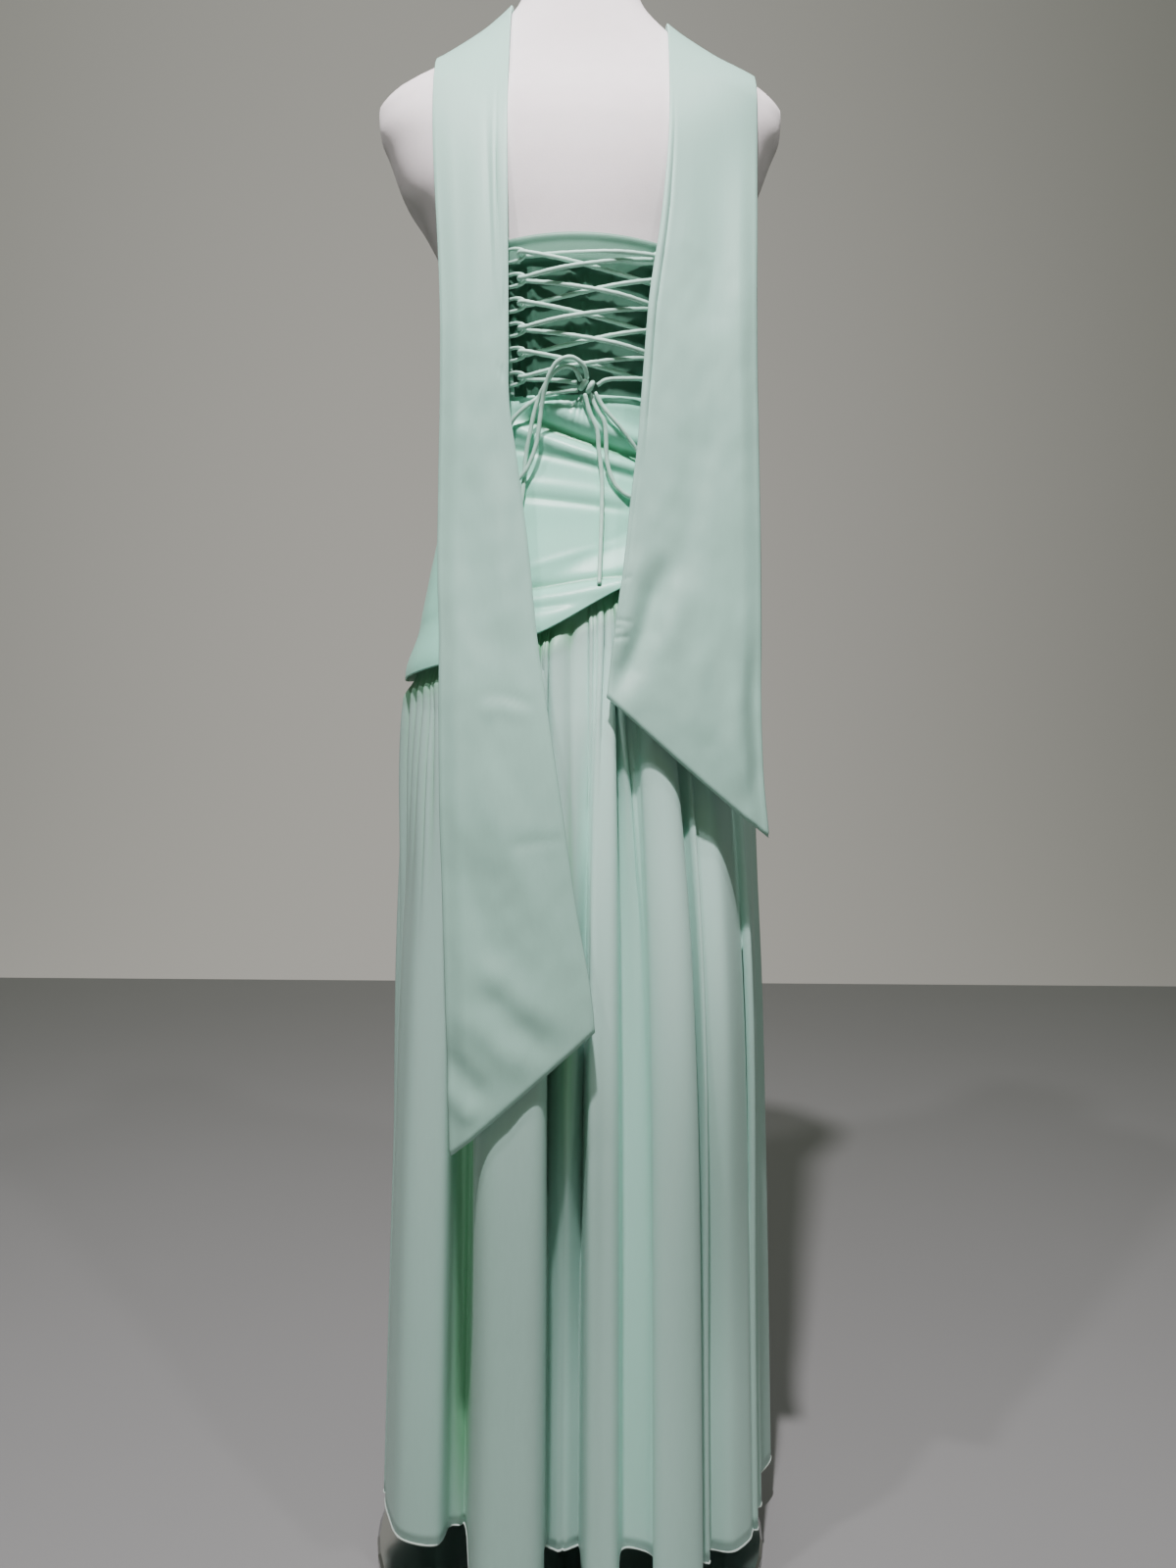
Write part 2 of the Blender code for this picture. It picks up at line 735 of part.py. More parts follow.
def lace_controls():
    """From the knot up one side of the zigzag, over the top and down the other."""
    stops = []
    side = -1
    for i in range(LOOP_COUNT - 1, -1, -1):
        stops.append((side, i))
        side = -side
    side = stops[-1][0]
    for i in range(LOOP_COUNT):
        stops.append((-side, i))
        side = -side
    points = [(-0.0004, 1.0985, 0.0095), (-0.018, 1.1012, 0.0068)]
    for place, (side, i) in enumerate(stops):
        if place:
            rising = place < LOOP_COUNT
            last = points[-1]
            into = hook(side, loop_height(i))[0]
            bump = 0.0 if place == LOOP_COUNT else (0.0029 if rising else -0.0029)
            for share in (0.3, 0.7):
                points.append((
                    mix(last[0], into[0], share),
                    mix(last[1], into[1], share),
                    mix(last[2], into[2], ease(share, 0, 1)) + bump * math.sin(math.pi * share),
                ))
        points += hook(side, loop_height(i))
    points += [(0.0290, 1.1015, 0.0125), (0.0174, 1.0965, 0.0105)]
    return points


rouleau("lace", [behind(*c) for c in lace_controls()], LACE, satin)
rouleau("lace_bow_left", flow([behind(*c) for c in BOW_LEFT], 0.012), LACE, satin)
rouleau("lace_bow_right", flow([behind(*c) for c in BOW_RIGHT], 0.012), LACE, satin)
rouleau("lace_tail_left", flow([behind(*c) for c in TAIL_LEFT], 0.012), LACE, satin)
rouleau("lace_tail_right", flow([behind(*c) for c in TAIL_RIGHT], 0.012), LACE, satin)

bm = bmesh.new()
bmesh.ops.create_icosphere(bm, subdivisions=2, radius=0.5)
for vertex in bm.verts:
    vertex.co = Vector((
        vertex.co.x * KNOT_SIZE[0], vertex.co.y * KNOT_SIZE[1], vertex.co.z * KNOT_SIZE[2]
    )) + behind(*KNOT)
knot_mesh = bpy.data.meshes.new("lace_knot")
bm.to_mesh(knot_mesh)
bm.free()
keep("lace_knot", knot_mesh, satin)
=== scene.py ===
# Asymmetrical maxi gown of mint satin on a limbless dress form, seen from its laced back.
# Metres, Z up. The gown's front faces +Y, so the camera stands on the -Y side.
import random
from math import acos, atan2, copysign, cos, degrees, exp, floor, hypot, pi, radians, remainder, sin

import bmesh
import bpy
from mathutils import Matrix, Vector, noise


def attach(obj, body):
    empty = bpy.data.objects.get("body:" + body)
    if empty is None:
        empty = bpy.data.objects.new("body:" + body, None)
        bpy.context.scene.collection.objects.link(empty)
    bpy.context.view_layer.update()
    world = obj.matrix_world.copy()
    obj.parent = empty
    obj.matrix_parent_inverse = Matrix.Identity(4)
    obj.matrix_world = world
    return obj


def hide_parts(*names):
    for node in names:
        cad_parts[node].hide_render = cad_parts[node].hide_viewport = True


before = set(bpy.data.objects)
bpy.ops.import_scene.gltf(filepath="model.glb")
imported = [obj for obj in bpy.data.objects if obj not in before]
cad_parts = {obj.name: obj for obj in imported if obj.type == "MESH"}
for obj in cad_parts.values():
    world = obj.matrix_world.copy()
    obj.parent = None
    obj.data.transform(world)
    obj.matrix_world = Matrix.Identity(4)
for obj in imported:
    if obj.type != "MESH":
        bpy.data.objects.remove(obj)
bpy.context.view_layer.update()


# Camera
# A phone camera 0.8 m above the floor and just over a metre behind the gown, tipped slightly
# down and slightly turned, so the gown leans right in the picture.

CAMERA_SPOT = (0.012, -1.14, 0.8)
CAMERA_LENS_MM = 27.05
CAMERA_SENSOR_MM = 36.0
CAMERA_DOWN = 2.8
CAMERA_ROLL = 0.43


def add_item(name, data):
    item = bpy.data.objects.new(name, data)
    bpy.context.collection.objects.link(item)
    return item


camera_data = bpy.data.cameras.new("camera")
camera_data.lens = CAMERA_LENS_MM
camera_data.sensor_width = CAMERA_SENSOR_MM
camera = add_item("camera", camera_data)
camera.matrix_world = (
    Matrix.Translation(CAMERA_SPOT)
    @ Matrix.Rotation(radians(90 - CAMERA_DOWN), 4, "X")
    @ Matrix.Rotation(radians(CAMERA_ROLL), 4, "Z")
)
bpy.context.scene.camera = camera


# Dress form
# A padded torso with no head or arms, covered in close white jersey, on a chrome pole
# that stands in a round chrome plate.

FORM_BOTTOM = 0.76
FORM_TOP = 1.535

# Sections of the form: height, half width, depth in front, depth behind, roundness

FORM = (
    (0.76, 0.14, 0.098, 0.101, 2.2),
    (0.79, 0.1485, 0.108, 0.112, 2.2),
    (0.83, 0.151, 0.112, 0.1165, 2.2),
    (0.88, 0.148, 0.109, 0.1145, 2.15),
    (0.93, 0.1395, 0.102, 0.106, 2.1),
    (0.98, 0.129, 0.0945, 0.095, 2.1),
    (1.045, 0.1165, 0.088, 0.086, 2.1),
    (1.09, 0.1165, 0.092, 0.089, 2.1),
    (1.14, 0.122, 0.104, 0.0955, 2.1),
    (1.19, 0.1275, 0.113, 0.101, 2.1),
    (1.23, 0.131, 0.112, 0.104, 2.1),
    (1.26, 0.1445, 0.106, 0.105, 2.1),
    (1.29, 0.164, 0.097, 0.1035, 2.1),
    (1.328, 0.1785, 0.084, 0.097, 2.1),
    (1.354, 0.188, 0.073, 0.087, 2.1),
    (1.372, 0.189, 0.065, 0.077, 2.05),
    (1.387, 0.178, 0.059, 0.069, 2.0),
    (1.41, 0.134, 0.053, 0.061, 2.0),
    (1.438, 0.089, 0.05, 0.056, 2.0),
    (1.465, 0.061, 0.049, 0.053, 2.0),
    (1.485, 0.0525, 0.0485, 0.0515, 2.0),
    (1.51, 0.0505, 0.048, 0.0505, 2.0),
    (1.53, 0.0505, 0.0475, 0.05, 2.0),
    (1.535, 0.048, 0.045, 0.0475, 2.0),
)
FORM_COLUMNS = 96
FORM_ROWS = 150
LID_ROUND = 0.003
LID_RISE = 0.0008
NEXT_TURN = 0.5
NEXT_HEIGHT = 0.001
CHROME = (0.55, 0.56, 0.56)

# Jersey: its colour and a darker one that serves for random mottle and for painted shade, then the
# share of the paler one below and above two heights, which paints light on the shoulders and shade
# lower down

JERSEY = (0.96, 0.88, 0.905)
JERSEY_MOTTLE_AND_PAINTED_SHADE = (0.77, 0.7, 0.725)
PAINTED_SHADE_BELOW = 1.24
PAINTED_LIGHT_ABOVE = 1.4
PAINTED_LIGHT_LOW = 0.15
PAINTED_LIGHT_HIGH = 0.8
MOTTLE = 0.35
MOTTLE_SIZE = 0.012
KNIT_SIZE = 0.0016


def metres(table):
    """A table of lengths that is written in tenths of a millimetre."""
    if isinstance(table, tuple):
        return tuple(metres(item) for item in table)
    return table / 10000


def read(rows, at, column):
    """Smooth value of one column of a table, whose first column rises."""
    i = sum(row[0] <= at for row in rows) - 1
    if i < 0 or i == len(rows) - 1:
        return rows[max(0, i)][column]
    low, high = rows[i], rows[i + 1]
    span = high[0] - low[0]
    step = high[column] - low[column]
    before = after = step
    if i > 0:
        before = (low[column] - rows[i - 1][column]) * span / (low[0] - rows[i - 1][0])
    if i < len(rows) - 2:
        after = (rows[i + 2][column] - high[column]) * span / (rows[i + 2][0] - high[0])
    start = 0.0 if before * step <= 0 else 2 * before * step / (before + step)
    end = 0.0 if after * step <= 0 else 2 * after * step / (after + step)
    t = (at - low[0]) / span
    rise = step * t * t * (3 - 2 * t)
    return low[column] + rise + start * t * (1 - t) ** 2 - end * t * t * (1 - t)


def row_at(rows, at):
    """All columns of such a table but the first."""
    return [read(rows, at, column) for column in range(1, len(rows[0]))]


def ease(value, low, high):
    """0 below low, 1 above high and smooth between."""
    t = min(1.0, max(0.0, (value - low) / (high - low)))
    return t * t * (3 - 2 * t)


def mix(a, b, share):
    return a + (b - a) * share


def oval(turn, width, front, behind, power):
    """Distance from the middle to an oval at an angle in degrees."""
    a = radians(turn)
    depth = front if sin(a) > 0 else behind
    return (abs(cos(a) / width) ** power + abs(sin(a) / depth) ** power) ** (-1 / power)


def form_reach(turn, z):
    z = max(z, FORM_BOTTOM)
    return oval(turn, *row_at(FORM, z))


def spot(turn, reach, z):
    a = radians(turn)
    return Vector((reach * cos(a), reach * sin(a), z))


def torso(turn, z, out=0.0):
    """Point on the form at an angle and height, moved out along the form's normal."""
    here = spot(turn, form_reach(turn, z), z)
    beside = spot(turn + NEXT_TURN, form_reach(turn + NEXT_TURN, z), z)
    above = spot(turn, form_reach(turn, z + NEXT_HEIGHT), z + NEXT_HEIGHT)
    return here + (beside - here).cross(above - here).normalized() * out


def form_depth(x, z, side):
    """Depth of the form at an x and a height, in front (side 1) or behind (side -1)."""
    width, front, behind, power = row_at(FORM, z)
    share = min(1.0, abs(x) / width)
    return side * (front if side > 0 else behind) * (1 - share ** power) ** (1 / power)


class Wire:
    """A shader socket on which Python's own operators add Math nodes."""

    def __init__(self, finish, socket):
        self.finish = finish
        self.socket = socket

    def __add__(self, other):
        return self.finish.maths("ADD", self, other)

    __radd__ = __add__

    def __sub__(self, other):
        return self.finish.maths("SUBTRACT", self, other)

    def __rsub__(self, other):
        return self.finish.maths("SUBTRACT", other, self)

    def __mul__(self, other):
        return self.finish.maths("MULTIPLY", self, other)

    __rmul__ = __mul__


class Finish:
    """A material with a Principled shader, and one method that adds any other node."""

    def __init__(self, name, **fixed):
        self.material = bpy.data.materials.new(name)
        self.material.use_nodes = True
        self.tree = self.material.node_tree
        self.shader = self.tree.nodes["Principled BSDF"]
        for socket, value in fixed.items():
            self.set(socket.replace("_", " "), value)

    def node(self, kind, settings, sockets, output=0):
        node = self.tree.nodes.new(kind)
        for name, value in settings.items():
            setattr(node, name, value)
        for name, value in sockets.items():
            self.join(value, node.inputs[name])
        return Wire(self, node.outputs[output])

    def maths(self, operation, *values):
        return self.node("ShaderNodeMath", {"operation": operation}, dict(enumerate(values)))

    def join(self, value, socket):
        """Links a wire to a socket, or sets its value; a colour gets its fourth number."""
        if isinstance(value, Wire):
            self.tree.links.new(value.socket, socket)
        else:
            socket.default_value = (*value, 1.0) if socket.type == "RGBA" else value

    def set(self, socket, value):
        self.join(value, self.shader.inputs[socket])

    def place(self, kind="Object"):
        """Object coordinates, or the piece's own UV map in metres of cloth."""
        return self.node("ShaderNodeTexCoord", {}, {}, kind)

    def axis(self, index, kind="Object"):
        return self.node("ShaderNodeSeparateXYZ", {}, {0: self.place(kind)}, index)

    def noise(self, size, detail=2.0, kind="Object", stretch=(1.0, 1.0, 1.0), rough=0.5):
        """Soft random pattern of a size in metres, from 0 to 1."""
        stretched = self.node(
            "ShaderNodeVectorMath", {"operation": "MULTIPLY"}, {0: self.place(kind), 1: stretch}
        )
        return self.node(
            "ShaderNodeTexNoise", {},
            {"Vector": stretched, "Scale": 1 / size, "Detail": detail, "Roughness": rough},
        )

    def blend(self, share, first, second):
        """Colour between two colours."""
        return self.node(
            "ShaderNodeMix", {"data_type": "RGBA"}, {0: share, 6: first, 7: second}, 2
        )

    def bump(self, height, strength, depth):
        normal = self.node(
            "ShaderNodeBump", {}, {"Strength": strength, "Distance": depth, "Height": height}
        )
        self.set("Normal", normal)


def add_mesh(name, bm, *materials):
    """Object made of the mesh built in bm, which it uses up."""
    mesh = bpy.data.meshes.new(name)
    bm.to_mesh(mesh)
    bm.free()
    for material in materials:
        mesh.materials.append(material)
    return add_item(name, mesh)


def hand_in(piece, slot, *nodes):
    """The piece goes with the one body and hides the solids that it stands for; slot is not used.
    """
    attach(piece, "root")
    if nodes:
        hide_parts(*nodes)


jersey = Finish("form_cover", Roughness=0.82, Sheen_Weight=0.25, Sheen_Roughness=0.5)
mottle = jersey.noise(MOTTLE_SIZE, 4.0)
# Painted light and shade: the jersey is painted paler towards the shoulders and darker lower down,
# with a random mottle over it.
painted_light = jersey.node(
    "ShaderNodeMapRange", {},
    {0: jersey.axis(2), 1: PAINTED_SHADE_BELOW, 2: PAINTED_LIGHT_ABOVE, 3: PAINTED_LIGHT_LOW, 4: PAINTED_LIGHT_HIGH},
)
jersey.set("Base Color", jersey.blend(painted_light + MOTTLE * (mottle - 0.5), JERSEY_MOTTLE_AND_PAINTED_SHADE, JERSEY))
jersey.bump(jersey.noise(KNIT_SIZE, 3.0, rough=0.7), 0.25, 0.0006)

bm = bmesh.new()
bmesh.ops.create_grid(bm, x_segments=FORM_COLUMNS, y_segments=FORM_ROWS, size=0.5)
for vertex in bm.verts:
    u, v = vertex.co.x + 0.5, vertex.co.y + 0.5
    vertex.co = torso(360 * u, mix(FORM_BOTTOM, FORM_TOP, v))
bmesh.ops.remove_doubles(bm, verts=bm.verts, dist=0.00002)
caps = bmesh.ops.holes_fill(bm, edges=bm.edges, sides=0)["faces"]
bmesh.ops.inset_region(bm, faces=caps, thickness=LID_ROUND, depth=LID_RISE)
bmesh.ops.recalc_face_normals(bm, faces=bm.faces)
for face in bm.faces:
    face.smooth = len(face.verts) == 4
hand_in(add_mesh("dress_form", bm, jersey.material), "form_cover", "form_torso")

chrome = Finish("chrome", Base_Color=CHROME, Metallic=1.0)
smudge = chrome.noise(0.05, 5.0)
chrome.set("Roughness", 0.1 + 0.16 * smudge)
for name in ("form_base", "form_pole"):
    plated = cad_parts[name].data
    plated.materials.clear()
    plated.materials.append(chrome.material)


# Satin bodice, front and both backs
# Mint satin cut close to the body, side seam to side seam, strapless under the sashes. Each
# back stops at the edge of the laced opening.

SEAM = 0.0003
CLOTH = 0.001
BODICE_OUT = 0.0012
BACK_OUT = 0.001
BASQUE_TOP = 1.0905
WINDOW_LEFT = 0.061
WINDOW_RIGHT = 0.08
WINDOW_REACH = 0.108
SIDE_REACH = 0.11
BODICE_FRONT_CUT = (0.37, 0.165)
BODICE_LEFT_CUT = (0.1, 0.145)
BODICE_RIGHT_CUT = (0.08, 0.145)

# Satin: its dye and its painted-shade colour for folds, the sizes of its threads, grain, slubs and
# clouds of dye, the slubs' dye, how much paler the painted highlight is and its cap, and its bump

MINT = (0.385, 0.655, 0.555)
MINT_PAINTED_SHADE = (0.24, 0.55, 0.345)
THREAD = 0.0008
GRAIN = 0.0012
SLUB = 0.004
CLOUD = 0.09
SLUB_DYE = 0.9
PAINTED_HIGHLIGHT_GAIN = 1.3
PAINTED_HIGHLIGHT_MOST = 0.95
WEAVE_BUMP = 0.22
WEAVE_DEPTH = 0.0004

# Angles between which each side passes into the laced back

LEFT_SIDE = (203, 219)
RIGHT_SIDE = (335, 349)

# Top edge of the bodice: angle round the body, height

BODICE_EDGE = (
    (0.0, 1.224), (30.0, 1.232), (60.0, 1.26), (90.0, 1.252), (120.0, 1.26), (150.0, 1.232),
    (180.0, 1.224), (255.0, 1.2225), (285.0, 1.22), (360.0, 1.224),
)


def satin_finish(name, color, painted_shade_color=MINT_PAINTED_SHADE, rough=0.4, gloss=0.5):
    """Satin: a fine twill in the cloth's own UV, faint slubs and cloudy dye, with painted shade
    where the cloth is sunk in a fold and a painted highlight where it lies open."""
    satin = Finish(
        name, Specular_IOR_Level=gloss, Sheen_Weight=0.06, Sheen_Roughness=0.4, Anisotropic=0.3
    )
    cloud = satin.noise(CLOUD, 3.0)
    slub = satin.noise(SLUB, 3.0, "UV", (1.0, 0.25, 1.0))
    # The attribute read here holds painted shade (above 0), mixed toward the painted-shade colour,
    # and painted highlight (below 0), mixed toward a paler copy of the dye.
    shade = satin.node("ShaderNodeAttribute", {"attribute_name": "painted_shading"}, {}, 2)
    dyed = satin.blend(0.4 * cloud + 0.5 * slub, color, tuple(SLUB_DYE * c for c in color))
    painted_light = tuple(min(PAINTED_HIGHLIGHT_MOST, PAINTED_HIGHLIGHT_GAIN * c) for c in color)
    with_painted_highlight = satin.blend(-1.0 * shade, dyed, painted_light)
    satin.set("Base Color", satin.blend(shade, with_painted_highlight, painted_shade_color))
    satin.set("Roughness", rough + 0.1 * slub)
    slant = satin.axis(0, "UV") + 0.5 * satin.axis(1, "UV")
    twill = satin.maths("SINE", slant * (2 * pi / THREAD))
    weave = 0.3 * twill + satin.noise(GRAIN, 3.0, "UV", rough=0.6) + 1.6 * slub
    satin.bump(weave, WEAVE_BUMP, WEAVE_DEPTH)
    return satin.material


def panel(
    name, columns, rows, place, size, material, painted_shading=None, thick=CLOTH, slot="mint_satin"
):
    """Sheet of cloth: place() gives its inner side over 0 to 1 round and 0 to 1 up, size is
    its flat width and length, and the shading function gives the painted shade in the dye at a
    point, above 0, and the painted highlight, below 0."""
    bm = bmesh.new()
    bmesh.ops.create_grid(bm, x_segments=columns, y_segments=rows, size=0.5)
    chart = bm.loops.layers.uv.new("cloth")
    depth = bm.verts.layers.float.new("painted_shading")
    for face in bm.faces:
        face.smooth = True
        for loop in face.loops:
            flat = loop.vert.co
            loop[chart].uv = ((flat.x + 0.5) * size[0], (flat.y + 0.5) * size[1])
    for vertex in bm.verts:
        u, v = vertex.co.x + 0.5, vertex.co.y + 0.5
        vertex[depth] = painted_shading(u, v) if painted_shading else 0.0
        vertex.co = place(u, v)
    item = add_mesh(name + "_cloth", bm, material)
    wall = item.modifiers.new("wall", "SOLIDIFY")
    wall.thickness = thick
    wall.offset = 1.0
    hand_in(item, slot, name)
    return item


satin = satin_finish("mint_satin", MINT, gloss=0.55)


def back_share(turn):
    """1 over the laced back, 0 at the sides and in front."""
    return ease(turn, *LEFT_SIDE) * (1 - ease(turn, *RIGHT_SIDE))


def bodice_out(turn):
    return BODICE_OUT + BACK_OUT * back_share(turn)


def bodice_panel(name, start, end, columns, rows, cut):
    def place(u, v):
        turn = mix(start, end, u)
        return torso(turn, mix(BASQUE_TOP + SEAM, read(BODICE_EDGE, turn, 1), v), bodice_out(turn))

    item = panel(name, columns, rows, place, cut, satin)


window_start = 180 + degrees(acos(WINDOW_LEFT / WINDOW_REACH))
window_end = 360 - degrees(acos(WINDOW_RIGHT / WINDOW_REACH))
half_seam = degrees(SEAM / 2 / SIDE_REACH)
bodice_panel("bodice_front", half_seam, 180 - half_seam, 120, 50, BODICE_FRONT_CUT)
bodice_panel("bodice_back_left", 180 + half_seam, window_start, 36, 40, BODICE_LEFT_CUT)
bodice_panel("bodice_back_right", window_end, 360 - half_seam, 36, 40, BODICE_RIGHT_CUT)


# Modesty panel
# A plain satin piece behind the lacing, drawn into soft upright creases by the pull of the
# lace, with a rolled and stitched top edge.

PANEL_LOW = 1.076
PANEL_TOP = 1.224
PANEL_DROP = 0.9
PANEL_START = 221
PANEL_END = 320.5
PANEL_OUT = 0.0012
PANEL_ROLL = 0.0016
PANEL_CUT = (0.175, 0.15)
PANEL_CREASES = 13
PANEL_SUNK = -0.0004
# The panel's satin is the gown's mint painted darker, as painted shade in the recess behind the
# lace; the second colour is the deeper painted shade.
PANEL_PAINTED_SHADE_MINT = (0.155, 0.32, 0.245)
PANEL_PAINTED_DEEP_SHADE = (0.04, 0.12, 0.08)

random.seed(7)
panel_creases = []
for _ in range(PANEL_CREASES):
    middle = random.uniform(0.05, 0.95)
    lean = random.uniform(-0.08, 0.08)
    width = random.uniform(0.008, 0.022)
    height = random.uniform(PANEL_SUNK, 0.0021)
    panel_creases.append((middle, lean, width, height))


def panel_out(u, v):
    rise = 0.0
    for middle, lean, width, height in panel_creases:
        away = (u - middle - lean * (v - 0.5)) / width
        rise += height * exp(-away * away)
    rise *= ease(v, 0.0, 0.15) * (1 - ease(v, 0.72, 0.86))
    roll = exp(-((v - 0.985) / 0.02) ** 2)
    return PANEL_OUT + max(PANEL_SUNK, rise) + PANEL_ROLL * roll


def panel_place(u, v):
    """The top edge is highest in the middle."""
    turn = mix(PANEL_START, PANEL_END, u)
    aside = WINDOW_REACH * cos(radians(turn))
    top = PANEL_TOP - PANEL_DROP * aside ** 2
    return torso(turn, mix(PANEL_LOW, top, v), panel_out(u, v))


def panel_shade(u, v):
    """Painted shade behind the lacing, less where light comes in low on the right, and a painted
    highlight along the rolled top edge.
    """
    painted_lighting = ease(v, 0.9, 0.96) * exp(-((u - 0.5) / 0.22) ** 2)
    lit = 0.4 * (1 - v) * ease(u, 0.25, 0.8)
    return (1 - lit) * (1 - ease(v, 0.84, 0.875)) - 0.6 * painted_lighting


panel_painted_shade_satin = satin_finish("panel_painted_shade_satin", PANEL_PAINTED_SHADE_MINT, PANEL_PAINTED_DEEP_SHADE)
modesty = panel(
    "modesty_panel", 110, 90, panel_place, PANEL_CUT, panel_painted_shade_satin, panel_shade,
    slot="mint_satin_panel",
)


# Basque
# A fitted hip yoke in two pieces, its lower edge slanting up to the right behind. The lace
# draws the back up, so deep drag folds run down across it from under the knot.

BASQUE_BACK_OUT = 0.0028
BASQUE_FLARE = 0.0105
BASQUE_FLARE_HIGH = 0.05
BASQUE_LEAST_OUT = 0.0011
BASQUE_CUT = (0.42, 0.25)
# The basque's satin is the gown's mint painted paler and greener, as painted light, with a darker
# colour for the painted shade in its drag folds.
BASQUE_PAINTED_LIGHT_MINT = (0.41, 0.91, 0.73)
BASQUE_PAINTED_SHADE = (0.13, 0.47, 0.27)
PUCKER_TOP = 1.094
PUCKER_DROP = 0.04
PUCKER_RISE = 0.0007
PUCKER_HALF_WIDTH = 0.026

# Lower edge of the basque: angle round the body, height

BASQUE_EDGE = (
    (0.0, 0.962), (45.0, 0.93), (90.0, 0.893), (135.0, 0.86), (180.0, 0.8415), (215.0, 0.8515),
    (253.0, 0.8765), (286.0, 0.9125), (320.0, 0.947), (360.0, 0.962),
)

# Drag folds: height at x = 0, slope, bend, half width, rise, left end x, right end x

DRAGS = (
    (1.069, -0.4, 2.0, 0.008, 0.004, -0.075, 0.085),
    (1.054, -0.34, 0.8, 0.0064, -0.004, -0.06, 0.085),
    (1.0412, -0.339, 1.2, 0.006, 0.0032, -0.08, 0.085),
    (1.0318, -0.25, 0.0, 0.0042, -0.0017, -0.08, 0.085),
    (1.006, -0.145, 0.0, 0.006, 0.0011, -0.07, 0.06),
    (0.995, -0.125, 0.0, 0.0042, -0.0015, -0.075, 0.06),
    (0.948, 0.3, 0.0, 0.004, 0.0005, -0.06, 0.05),
    (0.9232, 0.13, 0.0, 0.0046, -0.002, -0.08, 0.075),
    (0.9125, 0.13, 0.0, 0.0056, 0.0014, -0.08, 0.075),
    (0.903, 0.115, 0.0, 0.0036, -0.0012, -0.08, 0.01),
)


def basque_edge(turn):
    return read(BASQUE_EDGE, turn % 360, 1)


def drag(x, z):
    total = 0.0
    for height, slope, bend, width, rise, left, right in DRAGS:
        away = (z - height - slope * x - bend * x * x) / width
        if abs(away) < 3:
            ends = ease(x, left, left + 0.03) * (1 - ease(x, right - 0.03, right))
            total += rise * exp(-away * away) * ends
    return total


def puckers(x, z):
    """Small gathers that fan out from under the knot."""
    down = PUCKER_TOP - z
    if down > PUCKER_DROP or down < 0.0:
        return 0.0
    fan = (x - 0.004) / (0.35 + 18 * down)
    wave = sin(fan * 2 * pi * 95 + 5 * sin(fan * 120))
    fade = exp(-((x - 0.002) / PUCKER_HALF_WIDTH) ** 2) * (1 - ease(down, 0.012, 0.038))
    return PUCKER_RISE * wave * fade


def basque_panel(name, start, end, columns, rows, back):
    def place(u, v):
        turn = mix(start, end, u)
        low = basque_edge(turn)
        z = mix(low, BASQUE_TOP, v)
        flare = BASQUE_FLARE * (1 - ease(z, low + 0.004, low + BASQUE_FLARE_HIGH))
        out = bodice_out(turn) + flare
        if back:
            inside = ease(u, 0.0, 0.12) * (1 - ease(u, 0.88, 1.0))
            inside *= 1 - ease(z, 1.08, BASQUE_TOP)
            x = torso(turn, z).x
            out += (BASQUE_BACK_OUT * ease(z, low + 0.01, low + 0.06) + drag(x, z)) * inside
            out += puckers(x, z) * ease(BASQUE_TOP - z, 0.0, 0.004)
            out = max(out, BASQUE_LEAST_OUT)
        return torso(turn, z, out)

    # Painted shade in the troughs of the drag folds, on the back only.
    def painted_shading(u, v):
        turn = mix(start, end, u)
        z = mix(basque_edge(turn), BASQUE_TOP, v)
        return 0.9 * ease(-drag(torso(turn, z).x, z), 0.0004, 0.003) if back else 0.0

    item = panel(
        name, columns, rows, place, BASQUE_CUT, painted_light_satin, painted_shading, slot="mint_satin_bright"
    )


painted_light_satin = satin_finish("painted_light_satin", BASQUE_PAINTED_LIGHT_MINT, BASQUE_PAINTED_SHADE, 0.27, 0.6)
basque_panel("basque_front", half_seam, 180 - half_seam, 90, 60, False)
basque_panel("basque_back", 180 + half_seam, 360 - half_seam, 240, 150, True)


# Skirt
# Two panels of the same satin, gathered small and close under the basque. Below the hips
# the gathers run together into large uneven flutes, down to a narrow rolled hem.

SKIRT_CLOTH = 0.0012
SKIRT_FRONT_CUT = (1.0, 0.9)
SKIRT_BACK_CUT = (0.82, 0.9)
# The skirt's satin is painted paler than the bodice's, as painted light that offsets the lamps'
# falloff lower down.
SKIRT_PAINTED_LIGHT_MINT = (0.5, 0.735, 0.668)
SKIRT_COLUMNS = 352
SKIRT_ROWS = 104
GATHERS = 42
HEM = 0.0024
HEM_HEIGHT = 0.05
HEM_OUT = 0.0008
HEM_STEPS = 1200
# The hem's near-white colour is a painted highlight along the rolled edge.
HEM_PAINTED_HIGHLIGHT = (0.78, 0.89, 0.84)
TUBE_SIDES = 12

# How much closer the skirt's rows lie at the top, how far it goes up under the basque, its gaps
# to the form, the heights between which it leaves the form, and where the swells below end

SKIRT_CROWDING = 1.45
SKIRT_TUCK = 0.006
SKIRT_EASE = 0.0008
SKIRT_GUARD = 0.0007
SKIRT_FREE = 0.8
SKIRT_SNUG = 0.86
SWELL_FOOT = 0.85

# Line that the skirt hangs to: height, half width, depth in front, depth behind

SKIRT_LINE = metres((
    (500, 1790, 1360, 1410), (2500, 1740, 1320, 1370), (4000, 1700, 1290, 1340),
    (5500, 1660, 1250, 1300), (7000, 1600, 1200, 1245), (8200, 1550, 1165, 1205),
))

# Flutes at the hem: crest x, y, half width, facing and angle under the basque, then the
# same of the valley that follows it. Row k has its crest at control place 6k + 1 and its
# valley at 6k + 4, and the panels meet at two of these places.

